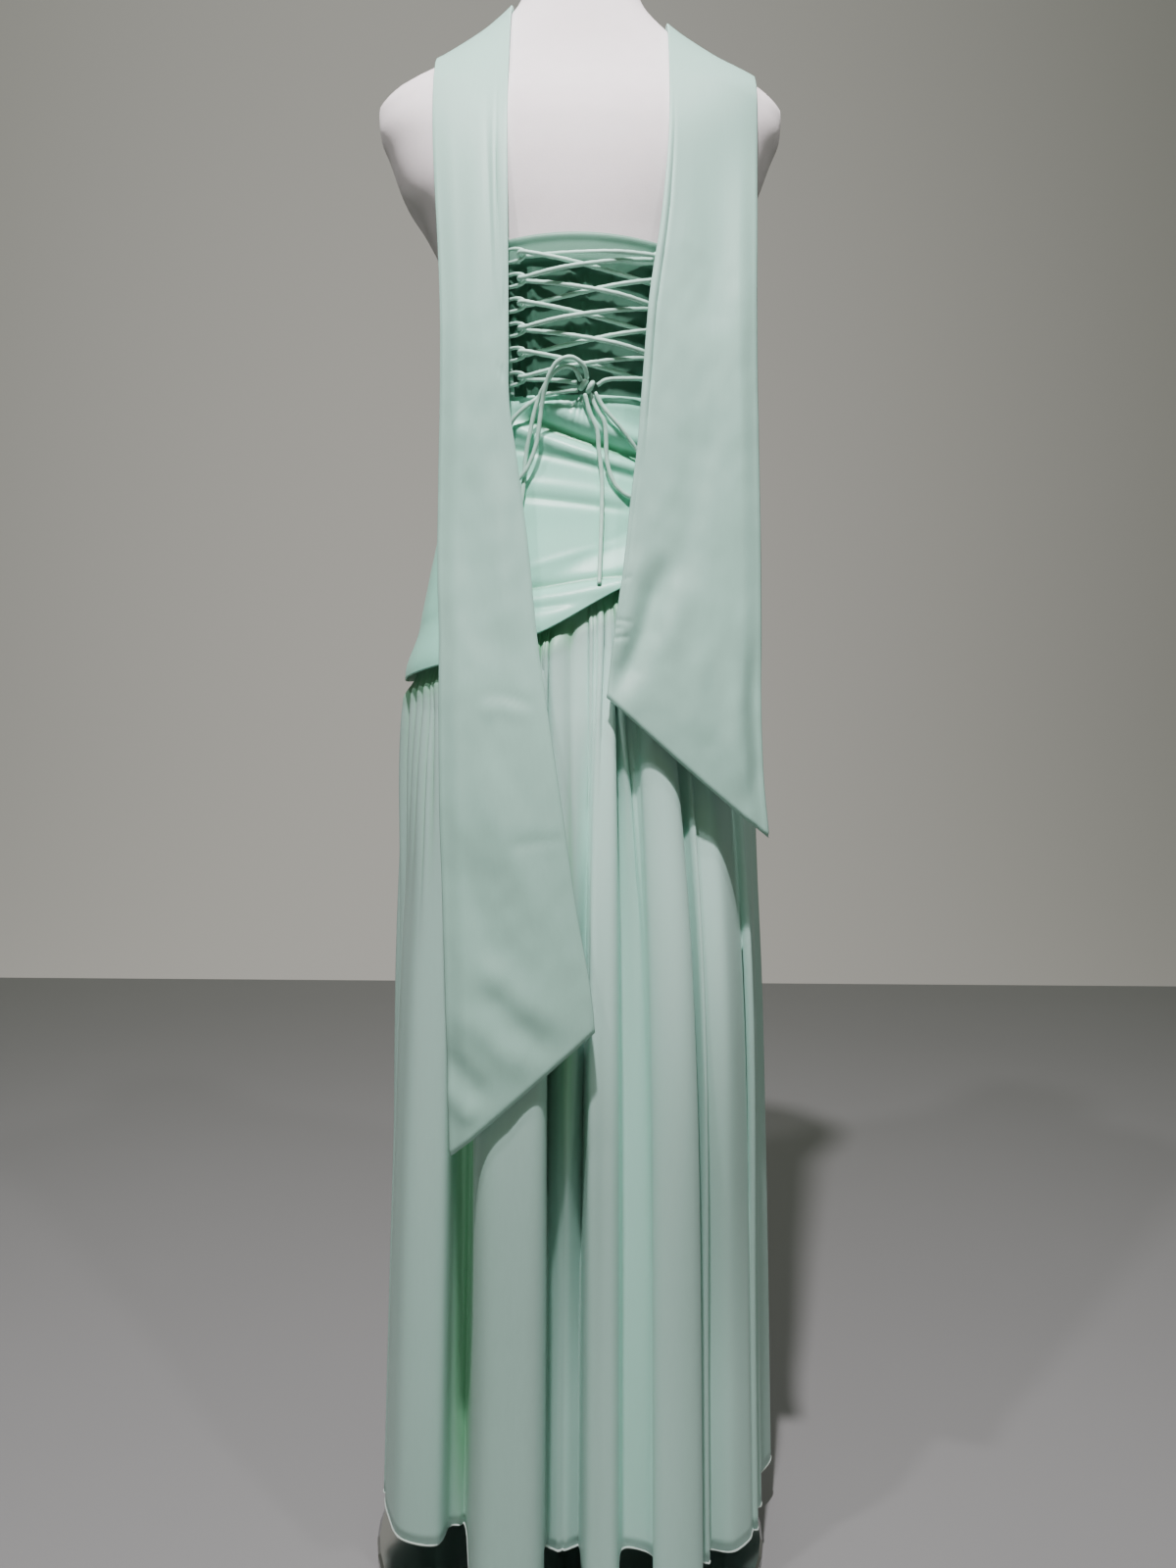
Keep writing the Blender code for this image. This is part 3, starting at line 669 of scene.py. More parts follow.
RIGHT_SEAM = -2
LEFT_SEAM = 58
FLUTE_BEND = 0.45
FLUTES = (
    (0.204, 0.042, 0.016, 8, 10, 0.168, 0.062, 0.009, 26, 21),
    (0.177, 0.093, 0.015, 30, 31, 0.138, 0.093, 0.008, 42, 40),
    (0.142, 0.13, 0.014, 48, 49, 0.101, 0.113, 0.009, 55, 58),
    (0.086, 0.157, 0.017, 66, 67, 0.056, 0.124, 0.008, 72, 75),
    (0.032, 0.166, 0.013, 82, 83, 0.011, 0.128, 0.008, 86, 88),
    (-0.016, 0.169, 0.017, 95, 94, -0.048, 0.124, 0.009, 102, 102),
    (-0.078, 0.16, 0.015, 112, 111, -0.096, 0.112, 0.009, 118, 119),
    (-0.13, 0.138, 0.017, 128, 128, -0.14, 0.093, 0.008, 140, 138),
    (-0.172, 0.088, 0.015, 150, 149, -0.16, 0.048, 0.009, 162, 161),
    (-0.185, 0.008, 0.014, 180, 174, -0.177, -0.026, 0.007, 196, 190),
    (-0.155, -0.087, 0.031, 232, 209, -0.104, -0.068, 0.009, 262, 226),
    (-0.0545, -0.178, 0.028, 262, 253, -0.0165, -0.098, 0.007, 264, 261),
    (-0.0045, -0.1005, 0.0022, 270, 266, 0.005, -0.0955, 0.005, 275, 271),
    (0.0285, -0.148, 0.0135, 271, 283, 0.065, -0.099, 0.017, 250, 287),
    (0.096, -0.153, 0.02, 268, 294, 0.1195, -0.114, 0.006, 280, 305),
    (0.148, -0.101, 0.0205, 287, 314, 0.1715, -0.071, 0.004, 308, 330),
    (0.183, -0.038, 0.008, 335, 342, 0.171, -0.012, 0.006, 350, 351),
)

# Where the cloth stands further back half way down: angle, width in degrees, rise on the
# crests, and share of it in the valleys

SWELLS = (
    (240, 6, 0.03, 0.0),
    (250, 8, 0.009, 0.0),
    (267, 8, 0.05, 1.0),
    (280, 6, 0.016, 0.0),
    (295, 5, 0.014, 0.0),
    (312, 8, 0.042, 0.0),
    (334, 11, 0.03, 0.3),
)

# How far the folds have opened: share of the drop, then the share of their size at the hem
# that has opened on a crest and in a valley

OPENING = (
    (0.0, 0.0, 0.0), (0.05, 0.14, 0.02), (0.12, 0.42, 0.1), (0.22, 0.62, 0.36), (0.38, 0.8, 0.66),
    (0.6, 0.92, 0.86), (0.8, 0.97, 0.95), (1.0, 1.0, 1.0),
)

# Where the gathers are shorter: angles between which that comes and goes, share taken off

SHORT_GATHERS = ((284, 292, 338, 348, 0.72), (180, 190, 226, 240, 0.5))

# Painted highlights along stretches of the folds, and painted shade (strength below 0): control
# place, width, strength, share of the drop at which each starts and ends

PAINTED_LIGHT_AND_SHADE = (
    (10.0, 1.2, 0.5, 0.2, 1.0),
    (28.0, 1.4, 0.6, 0.3, 1.0),
    (46.0, 1.2, 0.5, 0.2, 1.0),
    (61.5, 1.6, 0.3, 0.3, 0.9),
    (64.2, 1.3, -1.4, 0.3, 0.9),
    (73.0, 3.2, -0.9, 0.3, 0.5),
    (73.5, 2.6, 0.9, 0.62, 1.0),
    (75.0, 5.0, 0.8, 0.02, 0.12),
    (78.6, 2.4, 1.3, 0.08, 0.42),
    (82.0, 2.3, 1.3, 0.2, 1.0),
    (86.0, 1.6, 0.5, 0.22, 0.45),
    (91.5, 2.2, 0.6, 0.25, 1.0),
)


def flute_controls():
    """Three points over each crest and three in each valley, in plan."""
    points = []
    for row in FLUTES:
        for (x, y, half, facing), side in ((row[0:4], 1), (row[5:9], -1)):
            a = radians(facing)
            out = Vector((cos(a), sin(a)))
            along = Vector((-sin(a), cos(a)))
            middle = Vector((x, y))
            for step in (-1, 0, 1):
                bend = out * side * FLUTE_BEND * half * abs(step)
                points.append(middle + along * half * step - bend)
    return points


def round_curve(controls, at):
    """Point on the closed smooth curve through the controls."""
    i = floor(at)
    t = at - i
    a, b, c, d = (controls[(i + k) % len(controls)] for k in (-1, 0, 1, 2))
    return 0.5 * (
        2 * b + (c - a) * t
        + (2 * a - 5 * b + 4 * c - d) * t ** 2 + (3 * b - a - 3 * c + d) * t ** 3
    )


def lengths_along(points):
    """Length of a line of points up to each of them."""
    run = [0.0]
    for a, b in zip(points, points[1:]):
        run.append(run[-1] + (b - a).length)
    return run


def even_steps(run, count):
    """For even steps along such a line: the stretch that each lies in and its share of it."""
    k = 0
    for step in range(count + 1):
        want = run[-1] * step / count
        while k < len(run) - 2 and run[k + 1] < want:
            k += 1
        yield k, min(1.0, (want - run[k]) / (run[k + 1] - run[k]))


flutes = flute_controls()

# Angle under the basque at the control place in the middle of each crest and valley

top_angles = []
for k in range(-1, len(FLUTES) + 2):
    lap, which = divmod(k, len(FLUTES))
    row = FLUTES[which]
    top_angles += [(6 * k + 1, row[4] + 360 * lap), (6 * k + 4, row[9] + 360 * lap)]


def skirt_line(turn, z):
    """Reach of the skirt with no folds: it follows the form at the hips, then hangs free."""
    over = form_reach(turn, z) + SKIRT_EASE
    free = oval(turn, *row_at(SKIRT_LINE, z), 2.0)
    free = max(free, over) if z > SKIRT_FREE else free
    return mix(free, over, ease(z, SKIRT_FREE, SKIRT_SNUG))


def rope(bm, points, thick, closed=False, seam=0.1):
    """Adds a rouleau along the points: round, a little uneven, with its seam slowly winding."""
    count = len(points)
    tangents = []
    for k in range(count):
        after = points[(k + 1) % count] if closed or k < count - 1 else points[k]
        before = points[k - 1] if closed or k else points[k]
        tangents.append((after - before).normalized())
    side = tangents[0].orthogonal().normalized()
    chart = bm.loops.layers.uv.verify()
    run = 0.0
    rings = []
    for k in range(count):
        side = (side - tangents[k] * side.dot(tangents[k])).normalized()
        up = tangents[k].cross(side)
        run += (points[k] - points[k - 1]).length if k else 0.0
        swell = 1 + 0.05 * sin(run * 520) + 0.03 * sin(run * 1290 + 1)
        ring = []
        for step in range(TUBE_SIDES):
            a = 2 * pi * step / TUBE_SIDES
            off = remainder(a - run * 22, 2 * pi)
            reach = thick / 2 * swell * (1 - seam * exp(-(off / 0.45) ** 2))
            ring.append(bm.verts.new(points[k] + (side * cos(a) + up * sin(a)) * reach))
        rings.append((ring, run))
    joints = list(zip(rings, rings[1:]))
    if closed:
        joints.append((rings[-1], rings[0]))
    for (low, start), (high, end) in joints:
        for step in range(TUBE_SIDES):
            after = (step + 1) % TUBE_SIDES
            face = bm.faces.new((low[step], low[after], high[after], high[step]))
            face.smooth = True
            corners = ((step, start), (step + 1, start), (step + 1, end), (step, end))
            for loop, (turn, place) in zip(face.loops, corners):
                loop[chart].uv = (thick * pi * turn / TUBE_SIDES, place)
    if not closed:
        bm.faces.new(reversed(rings[0][0]))
        bm.faces.new(rings[-1][0])


def rouleau(name, nodes, runs, thick, material, closed=False):
    """One piece of one or more tubes of cloth, and the solids it stands for."""
    bm = bmesh.new()
    for points in runs:
        rope(bm, points, thick, closed)
    bmesh.ops.recalc_face_normals(bm, faces=bm.faces)
    item = add_mesh(name, bm, material)
    hand_in(item, "mint_satin", *nodes)
    return item


def skirt_panel(name, first, last, seed, cut):
    """Panel between two control places of the flutes, evenly spread along the hem."""
    fine = [first + (last - first) * k / HEM_STEPS for k in range(HEM_STEPS + 1)]
    run = lengths_along([round_curve(flutes, at) for at in fine])
    columns = [mix(fine[k], fine[k + 1], share) for k, share in even_steps(run, SKIRT_COLUMNS)]
    random.seed(seed)
    lengths = [random.uniform(0.15, 0.75) for _ in range(GATHERS)]
    depths = [random.uniform(0.005, 0.011) for _ in range(GATHERS)]
    shifts = [random.uniform(-0.4, 0.4) for _ in range(GATHERS + 1)]
    shifts[0] = shifts[-1] = 0.0
    bars = [g + shifts[g] for g in range(GATHERS + 1)]

    def gather(u, share, turn):
        """Small gathers: how far one stands out, and how near its dip is, up to 1."""
        at = u * GATHERS
        g = min(GATHERS - 1, max(0, int(at)))
        if at < bars[g]:
            g = max(0, g - 1)
        elif at > bars[g + 1]:
            g = min(GATHERS - 1, g + 1)
        across = min(1.0, max(0.0, (at - bars[g]) / (bars[g + 1] - bars[g])))
        length = lengths[g]
        for start, shorter, longer, end, less in SHORT_GATHERS:
            length *= 1 - less * ease(turn, start, shorter) * (1 - ease(turn, longer, end))
        fade = ease(share, 0.0, 0.03) * (1 - ease(share, 0.15 * length, length))
        swell = sin(pi * across)
        return depths[g] * fade * swell ** 0.6, fade * (1 - swell) ** 1.7

    def place(u, v):
        share = (1 - v) ** SKIRT_CROWDING
        at = columns[round(u * SKIRT_COLUMNS)]
        turn = read(top_angles, at, 1)
        z = mix(basque_edge(turn) + SKIRT_TUCK, HEM_HEIGHT, share)
        base = spot(turn, skirt_line(turn, z), z)
        foot = spot(turn, skirt_line(turn, HEM_HEIGHT), HEM_HEIGHT)
        end = round_curve(flutes, at)
        fold = Vector((end.x - foot.x, end.y - foot.y, 0.0))
        outward = fold.dot(spot(turn, 1.0, 0.0))
        fold *= mix(read(OPENING, share, 2), read(OPENING, share, 1), ease(outward, -0.012, 0.012))
        point = base + fold
        for middle, wide, rise, in_valley in SWELLS:
            rise *= exp(-((turn - middle) / wide) ** 2)
            rise *= mix(in_valley, 1, ease(outward, -0.002, 0.003))
            point.y -= rise * sin(pi * ease(share, 0.0, SWELL_FOOT))
        if z > FORM_BOTTOM - 0.03:
            reach = hypot(point.x, point.y)
            angle = degrees(atan2(point.y, point.x)) % 360
            guard = form_reach(angle, z) + SKIRT_GUARD
            if reach < guard:
                point = spot(angle, guard, z)
        return point + spot(turn, gather(u, share, turn)[0], 0.0)

    # Painted shade just under the basque's edge and in the dips of the gathers, plus the painted
    # highlights and painted shade of the streaks listed above.
    def painted_shading(u, v):
        share = (1 - v) ** SKIRT_CROWDING
        at = columns[round(u * SKIRT_COLUMNS)]
        painted_lighting = 0.0
        for middle, wide, strength, start, end in PAINTED_LIGHT_AND_SHADE:
            reach = ease(share, start - 0.1, start + 0.1) * (1 - ease(share, end - 0.1, end + 0.2))
            painted_lighting += strength * exp(-((at - middle) / wide) ** 2) * reach
        dip = gather(u, share, read(top_angles, at, 1))[1]
        return 0.9 * (1 - ease(share, 0.015, 0.045)) + 0.8 * dip - painted_lighting

    item = panel(name, SKIRT_COLUMNS, SKIRT_ROWS, place, cut, skirt_satin, painted_shading, SKIRT_CLOTH)
    rolled = []
    for k in range(SKIRT_COLUMNS + 1):
        edge = place(k / SKIRT_COLUMNS, 0.0)
        rolled.append(edge + Vector((edge.x, edge.y, 0.0)).normalized() * HEM_OUT)
    hem = rouleau(name + "_hem", [], [rolled], HEM, hem_highlight_satin)


skirt_satin = satin_finish("skirt_satin", SKIRT_PAINTED_LIGHT_MINT)
hem_highlight_satin = satin_finish("hem_highlight_satin", HEM_PAINTED_HIGHLIGHT)
skirt_panel("skirt_front", RIGHT_SEAM, LEFT_SEAM, 3, SKIRT_FRONT_CUT)
skirt_panel("skirt_back", LEFT_SEAM, RIGHT_SEAM + 6 * len(FLUTES), 5, SKIRT_BACK_CUT)


# Streamers
# Two sashes that leave the front of the bodice, cross the shoulders and hang free behind,
# cut aslant at the foot. Each is satin doubled over, pressed flat and seamed along its edge.

STREAMER_CLOTH = 0.0016
LEFT_CUT = (0.125, 1.18)
RIGHT_CUT = (0.142, 0.91)
SASH_DYE = (0.4, 0.66, 0.57)
SHOULDER = 1.33
FORM_GAP = 0.0015
SHOULDER_LIFT = 0.0036
FRONT_GAP = 0.0012
FRONT_REACH = 0.1

# Rows hanging, over the shoulder and in front, how much closer the hanging ones lie at the foot,
# and how often and over which rows the bend at the shoulder is softened

HANG_ROWS = 170
ARC_ROWS = 64
FRONT_ROWS = 16
ARC_STEPS = 60
HANG_CROWDING = 1.35
SOFTEN = 60
SOFT_BELOW = 26
SOFT_ABOVE = 12

# Hanging part of each: height, inner x, outer x, inner y, outer y

STREAMER_LEFT = metres((
    (4400, 200, -1002, -1850, -1800), (5470, 183, -1040, -1790, -1740),
    (6550, 13, -1090, -1670, -1610), (7280, -98, -1125, -1600, -1530),
    (8010, -212, -1145, -1500, -1430), (8750, -326, -1160, -1370, -1310),
    (9520, -411, -1190, -1240, -1190), (10180, -500, -1188, -1190, -1130),
    (10900, -589, -1183, -1160, -1080), (11770, -595, -1190, -1130, -1010),
    (12520, -605, -1244, -1080, -900), (13300, -625, -1300, -958, -738),
))
STREAMER_RIGHT = metres((
    (7050, 270, 1666, -1530, -1420), (7510, 275, 1627, -1500, -1370),
    (8240, 282, 1603, -1440, -1290), (8840, 345, 1600, -1350, -1210),
    (9350, 411, 1600, -1270, -1150), (10000, 478, 1590, -1200, -1080),
    (10440, 529, 1582, -1170, -1030), (11190, 581, 1570, -1130, -950),
    (11690, 619, 1567, -1110, -890), (12520, 737, 1580, -1040, -740),
    (13300, 790, 1590, -928, -515),
))

# Feet of the streamers: lowest inner corner, lowest outer tip, inner and outer x in front

LEFT_ENDS = metres((5470, 4410, -500, -1060))
RIGHT_ENDS = metres((8240, 7060, 520, 1120))

# Soft troughs (below 0) and ridges: half width, rise, then x and height along each

LEFT_CREASES = metres((
    (17, 12, ((-745, 13600), (-733, 12735), (-697, 12158), (-629, 11308))),
    (14, -18, ((-721, 13600), (-709, 12735), (-673, 12158), (-605, 11308))),
    (24, -14, ((-850, 13500), (-770, 12620), (-720, 11700))),
    (140, -16, ((-1080, 13100), (-1040, 12300), (-1000, 11200))),
    (120, 18, ((-900, 13000), (-840, 11800), (-800, 10600))),
    (150, -26, ((-980, 10600), (-920, 9600), (-800, 8400))),
    (120, 26, ((-660, 10400), (-600, 9300), (-520, 8500))),
    (40, -8, ((-900, 8220), (-670, 8260), (-260, 8170))),
    (55, 8, ((-860, 8110), (-600, 8140), (-300, 8060))),
    (45, -8, ((-580, 6980), (-340, 7030), (-20, 7065))),
    (150, 20, ((-800, 7900), (-500, 6900), (-100, 6100))),
    (160, -22, ((-1020, 7200), (-720, 6300), (-300, 5750))),
    (130, 17, ((-820, 6100), (-400, 5720), (40, 5480))),
    (130, -28, ((-800, 5900), (-460, 5530), (-60, 5220))),
    (120, 16, ((-1040, 5700), (-620, 5340), (-260, 5080))),
    (120, -28, ((-1280, 5380), (-920, 5130), (-600, 4820))),
    (90, 18, ((-1120, 5020), (-940, 4860), (-780, 4700))),
    (18, -16, ((-700, 11060), (-580, 10960))),
))
RIGHT_CREASES = metres((
    (18, -20, ((840, 13800), (790, 12500), (672, 11600), (570, 10100))),
    (22, 10, ((815, 13800), (765, 12500), (648, 11600), (546, 10100))),
    (240, -30, ((1240, 13200), (1180, 12400), (1140, 11200))),
    (180, 20, ((1000, 13000), (950, 11800), (900, 10600))),
    (160, 18, ((1450, 12400), (1380, 11000), (1340, 10000))),
    (170, -34, ((1120, 10800), (960, 9800), (880, 9000))),
    (120, -80, ((780, 9550), (690, 9180), (590, 8820), (460, 8500), (250, 8120))),
    (80, 18, ((560, 9600), (480, 9000), (400, 8640), (300, 8480))),
    (100, 20, ((940, 9400), (860, 8900), (740, 8500))),
    (14, -10, ((564, 10440), (513, 10000), (446, 9350), (380, 8840), (317, 8350))),
    (18, -11, ((330, 8905), (500, 8880))),
    (16, -9, ((310, 8825), (430, 8835))),
    (20, -12, ((310, 8740), (470, 8770))),
    (16, -8, ((390, 9250), (500, 9270))),
    (95, -44, ((1500, 8800), (1520, 8100), (1600, 7200))),
    (90, 26, ((1380, 8600), (1390, 7900), (1470, 7300))),
    (120, 18, ((1100, 8800), (1050, 8300), (1100, 7800))),
))

# Bow across the cloth, faint ripples, roll of the foot and of the two edges, each with how far
# in it starts, and the outer edge's bend towards the form

CROWN = 0.004
RIPPLE = 0.0013
ROLL = 0.0022
FOOT_ROLL_IN = 0.004
EDGE_ROLL_IN = 0.0026
OUTER_BEND = 0.005
OUTER_BEND_IN = 0.018


def crease(rows, x, z):
    """Rise of the soft troughs and ridges at a place, each fading towards its ends."""
    total = 0.0
    for width, rise, line in rows:
        nearest, where, run = 9.0, 0.0, 0.0
        for (x0, z0), (x1, z1) in zip(line, line[1:]):
            length = hypot(x1 - x0, z1 - z0)
            t = ((x - x0) * (x1 - x0) + (z - z0) * (z1 - z0)) / length ** 2
            t = min(1.0, max(0.0, t))
            away = hypot(x - mix(x0, x1, t), z - mix(z0, z1, t))
            if away < nearest:
                nearest, where = away, run + t * length
            run += length
        if nearest < 3 * width:
            ends = ease(where, 0, 0.3 * run) * (1 - ease(where, 0.7 * run, run))
            total += rise * exp(-(nearest / width) ** 2) * ends
    return total


def ripple(x, z):
    """Faint unevenness of hanging cloth, longer down the cloth than across it."""
    broad = noise.noise(Vector((x / 0.034, 0.0, z / 0.075)))
    return broad + 0.35 * noise.noise(Vector((x / 0.013, 4.0, z / 0.022)))


def shoulder_spot(x, swing):
    """Point over the shoulder: swing 0 is level in front, 90 straight up, 180 level behind."""
    a = radians(swing)
    near, far = 0.0, 0.3
    for _ in range(22):
        middle = (near + far) / 2
        y = middle * cos(a)
        z = SHOULDER + middle * sin(a)
        width, front, behind, power = row_at(FORM, z)
        depth = front if y > 0 else behind
        inside = z < FORM_TOP and (abs(x) / width) ** power + (abs(y) / depth) ** power < 1
        near, far = (middle, far) if inside else (near, middle)
    near += FORM_GAP + SHOULDER_LIFT * sin(a)
    return Vector((x, near * cos(a), SHOULDER + near * sin(a)))


def over_shoulder(x):
    """Evenly spaced points over the shoulder, from the back to the front."""
    fine = [shoulder_spot(x, 180 - 180 / ARC_STEPS * k) for k in range(ARC_STEPS + 1)]
    steps = even_steps(lengths_along(fine), ARC_ROWS)
    return [fine[k].lerp(fine[k + 1], share) for k, share in steps]


def streamer(name, hang, ends, columns, creases, cut):
    low_in, low_out, front_in, front_out = ends
    steps = FRONT_ROWS + ARC_ROWS + HANG_ROWS
    mirrored = hang[0][2] > hang[0][1]
    arcs = {}
    lines = {}

    def rough(across, k):
        """Point of a lengthwise thread: hanging, over the shoulder, or in front."""
        if k < HANG_ROWS:
            low = mix(low_in, low_out, across)
            z = mix(SHOULDER, low, 1 - (k / HANG_ROWS) ** HANG_CROWDING)
            inner_x, outer_x, inner_y, outer_y = row_at(hang, z)
            x = mix(inner_x, outer_x, across)
            y = mix(inner_y, outer_y, across)
            y -= CROWN * sin(pi * across) * ease(SHOULDER - z, 0.05, 0.35)
            y -= crease(creases, x, z) * ease(SHOULDER - z, 0.0, 0.05)
            y -= RIPPLE * ripple(x, z) * ease(SHOULDER - z, 0.0, 0.1)
            width = abs(outer_x - inner_x)
            foot = 1 - ease(z - low, 0.0, FOOT_ROLL_IN)
            edge = 1 - ease(min(across, 1 - across) * width, 0.0, EDGE_ROLL_IN)
            y += ROLL * foot + 0.6 * ROLL * edge
            bend = 1 - ease((1 - across) * width, 0.0, OUTER_BEND_IN)
            y += OUTER_BEND * bend * ease(SHOULDER - z, 0.0, 0.08)
            return Vector((x, y, z))
        x = mix(hang[-1][1], hang[-1][2], across)
        if k <= HANG_ROWS + ARC_ROWS:
            if x not in arcs:
                arcs[x] = over_shoulder(x)
            return arcs[x][k - HANG_ROWS]
        share = (k - HANG_ROWS - ARC_ROWS) / FRONT_ROWS
        front_x = mix(x, mix(front_in, front_out, across), ease(share, 0, 1))
        turn = degrees(atan2(FRONT_REACH, front_x))
        z = mix(SHOULDER, read(BODICE_EDGE, turn, 1) + FRONT_GAP, share)
        return Vector((front_x, form_depth(front_x, z, 1) + FRONT_GAP, z))

    def line(across):
        """One lengthwise thread, with its bends over the shoulder softened."""
        thread = [rough(across, k) for k in range(steps + 1)]
        for _ in range(SOFTEN):
            for k in range(HANG_ROWS - SOFT_BELOW, HANG_ROWS + SOFT_ABOVE):
                thread[k] = 0.5 * thread[k] + 0.25 * (thread[k - 1] + thread[k + 1])
        return thread

    def place(u, v):
        across = u if mirrored else 1 - u
        key = round(across * columns)
        if key not in lines:
            lines[key] = line(across)
        return lines[key][round(v * steps)]

    item = panel(name, columns, steps, place, cut, sash_satin, thick=STREAMER_CLOTH)


sash_satin = satin_finish("sash_satin", SASH_DYE, rough=0.42)
streamer("streamer_left", STREAMER_LEFT, LEFT_ENDS, 104, LEFT_CREASES, LEFT_CUT)
streamer("streamer_right", STREAMER_RIGHT, RIGHT_ENDS, 112, RIGHT_CREASES, RIGHT_CUT)


# Lacing
# A rouleau lace of the same satin, hooked through small rouleau loops sewn under the edges of
# the opening, and tied in a bow below. Its two bow loops and two tails hang free.

LACE = 0.004
LOOP = 0.0032
LOOP_COUNT = 6
LOOP_TOP = 1.205
LOOP_PITCH = 0.0202
LOOP_ROOT_IN = 0.0065
LOOP_ROOT_LIFT = 0.0064
HOOK = 0.0049
CROSSING_LIFT = 0.0029
# The lace's colour is the gown's satin painted paler, as a painted highlight.
LACE_PAINTED_HIGHLIGHT_MINT = (0.5, 0.79, 0.67)
LACE_STEP = 0.002
LOOP_STEP = 0.0018
STRAND_STEP = 0.0025
WRAP = 0.0044
WRAP_HALF_LENGTH = 0.004
WRAP_HALF_DEPTH = 0.0026

# Tips of the loops on the left (-1) and the right (1): distance from the middle, lift

LOOP_TIPS = {-1: (0.046, 0.0098), 1: (0.066, 0.0118)}

# Knot and the lace's ends in it: x, height, lift off the form behind; then the knot's two
# wraps: shift to the side and lean

KNOT = metres((85, 10955, 105))
LACE_START = metres(((-4, 10985, 95), (-180, 11012, 68)))
LACE_END = metres(((290, 11015, 125), (174, 10965, 105)))
WRAPS = ((-0.003, 0.62), (0.003, 0.5))

# Free strands of the bow: x, height, lift off the form behind

BOW_LEFT = metres((
    (31, 10998, 121), (-25, 11072, 195), (-112, 11085, 212), (-190, 11048, 208), (-265, 10965, 184),
    (-333, 10845, 145), (-378, 10710, 140), (-412, 10550, 132), (-446, 10388, 122),
    (-463, 10187, 110), (-474, 10026, 106), (-500, 9920, 104), (-550, 9905, 104),
    (-600, 10000, 106), (-625, 10187, 110), (-635, 10388, 122), (-625, 10550, 132),
    (-566, 10678, 138), (-472, 10770, 126), (-361, 10850, 96), (-260, 10900, 74), (-140, 10918, 65),
    (4, 10929, 74),
))
TAIL_LEFT = metres((
    (85, 11020, 114), (58, 11092, 200), (-40, 11150, 240), (-150, 11125, 256), (-224, 11040, 250),
    (-275, 10911, 225), (-305, 10766, 190), (-325, 10629, 180), (-350, 10468, 170),
    (-395, 10331, 166), (-445, 10227, 160), (-515, 10146, 155),
))
BOW_RIGHT = metres((
    (109, 10902, 80), (178, 10750, 112), (238, 10653, 128), (255, 10508, 128), (258, 10380, 120),
    (282, 10243, 112), (340, 10114, 106), (426, 10033, 104), (511, 10010, 104), (580, 10066, 106),
    (605, 10187, 110), (588, 10315, 116), (528, 10428, 124), (460, 10517, 130), (366, 10629, 132),
    (275, 10726, 116), (210, 10812, 96), (154, 10908, 88),
))
TAIL_RIGHT = metres((
    (66, 10888, 110), (112, 10725, 125), (175, 10583, 130), (192, 10420, 124), (216, 10228, 114),
    (224, 10035, 106), (221, 9800, 106), (212, 9500, 118), (204, 9219, 148),
))


def flow(controls, step):
    """Points about one step apart on a smooth curve through the controls."""
    controls = [Vector(c) for c in controls]
    padded = [2 * controls[0] - controls[1], *controls, 2 * controls[-1] - controls[-2]]
    points = []
    for i in range(1, len(padded) - 2):
        count = max(1, round((padded[i + 1] - padded[i]).length / step))
        for k in range(count):
            points.append(round_curve(padded, i + k / count))
    points.append(controls[-1])
    return points


def behind(x, z, lift):
    return Vector((x, form_depth(x, z, -1) - lift, z))


def loop_height(i):
    return LOOP_TOP - i * LOOP_PITCH


def loop_row(node, side):
    """Row of small loops along one edge of the opening, in one wavy rouleau."""
    root = (WINDOW_RIGHT if side > 0 else WINDOW_LEFT) + LOOP_ROOT_IN
    tip, lift = LOOP_TIPS[side]
    controls = []
    for i in range(LOOP_COUNT):
        z = loop_height(i)
        controls += [
            (root, z + 0.0058, LOOP_ROOT_LIFT),
            (tip + 0.0075, z + 0.005, lift),
            (tip + 0.0005, z + 0.0026, lift),
            (tip + 0.0005, z - 0.0026, lift),
            (tip + 0.0075, z - 0.005, lift),
            (root, z - 0.0058, LOOP_ROOT_LIFT),
        ]
    route = flow([behind(side * x, z, lift) for x, z, lift in controls], LOOP_STEP)
    rouleau(node + "_tube", [node], [route], LOOP, lace_satin)


lace_satin = satin_finish("lace_satin", LACE_PAINTED_HIGHLIGHT_MINT, rough=0.28, gloss=0.6)
loop_row("loops_left", -1)
loop_row("loops_right", 1)


def hook(side, z):
    """The lace turns round a loop's tip: under it, up through its eye and back over it."""
    tip, lift = LOOP_TIPS[side]
    points = []
    for swing in (285, 215, 145, 75):
        a = radians(swing)
        x = side * (tip - HOOK * cos(a))
        level = form_depth(x, z, -1) - form_depth(side * tip, z, -1)
        points.append((x, z, lift + HOOK * sin(a) + level))
    return points


def lace_controls():
    """From the knot up one side of the zigzag, over the top and down the other."""
    up = [(-1 if i % 2 else 1, i) for i in reversed(range(LOOP_COUNT))]
    down = [(-side, i) for side, i in reversed(up)]
    points = list(LACE_START)
    for place, (side, i) in enumerate(up + down):
        if place:
            last = points[-1]
            into = hook(side, loop_height(i))[0]
            over = 0.0 if place == LOOP_COUNT else copysign(CROSSING_LIFT, LOOP_COUNT - place)
            for share in (0.3, 0.7):
                points.append((
                    mix(last[0], into[0], share),
                    mix(last[1], into[1], share),
                    mix(last[2], into[2], ease(share, 0, 1)) + over * sin(pi * share),
                ))
        points += hook(side, loop_height(i))
    return points + list(LACE_END)


lace_route = flow([behind(*c) for c in lace_controls()], LACE_STEP)
rouleau("lace_tube", ["lace"], [lace_route], LACE, lace_satin)

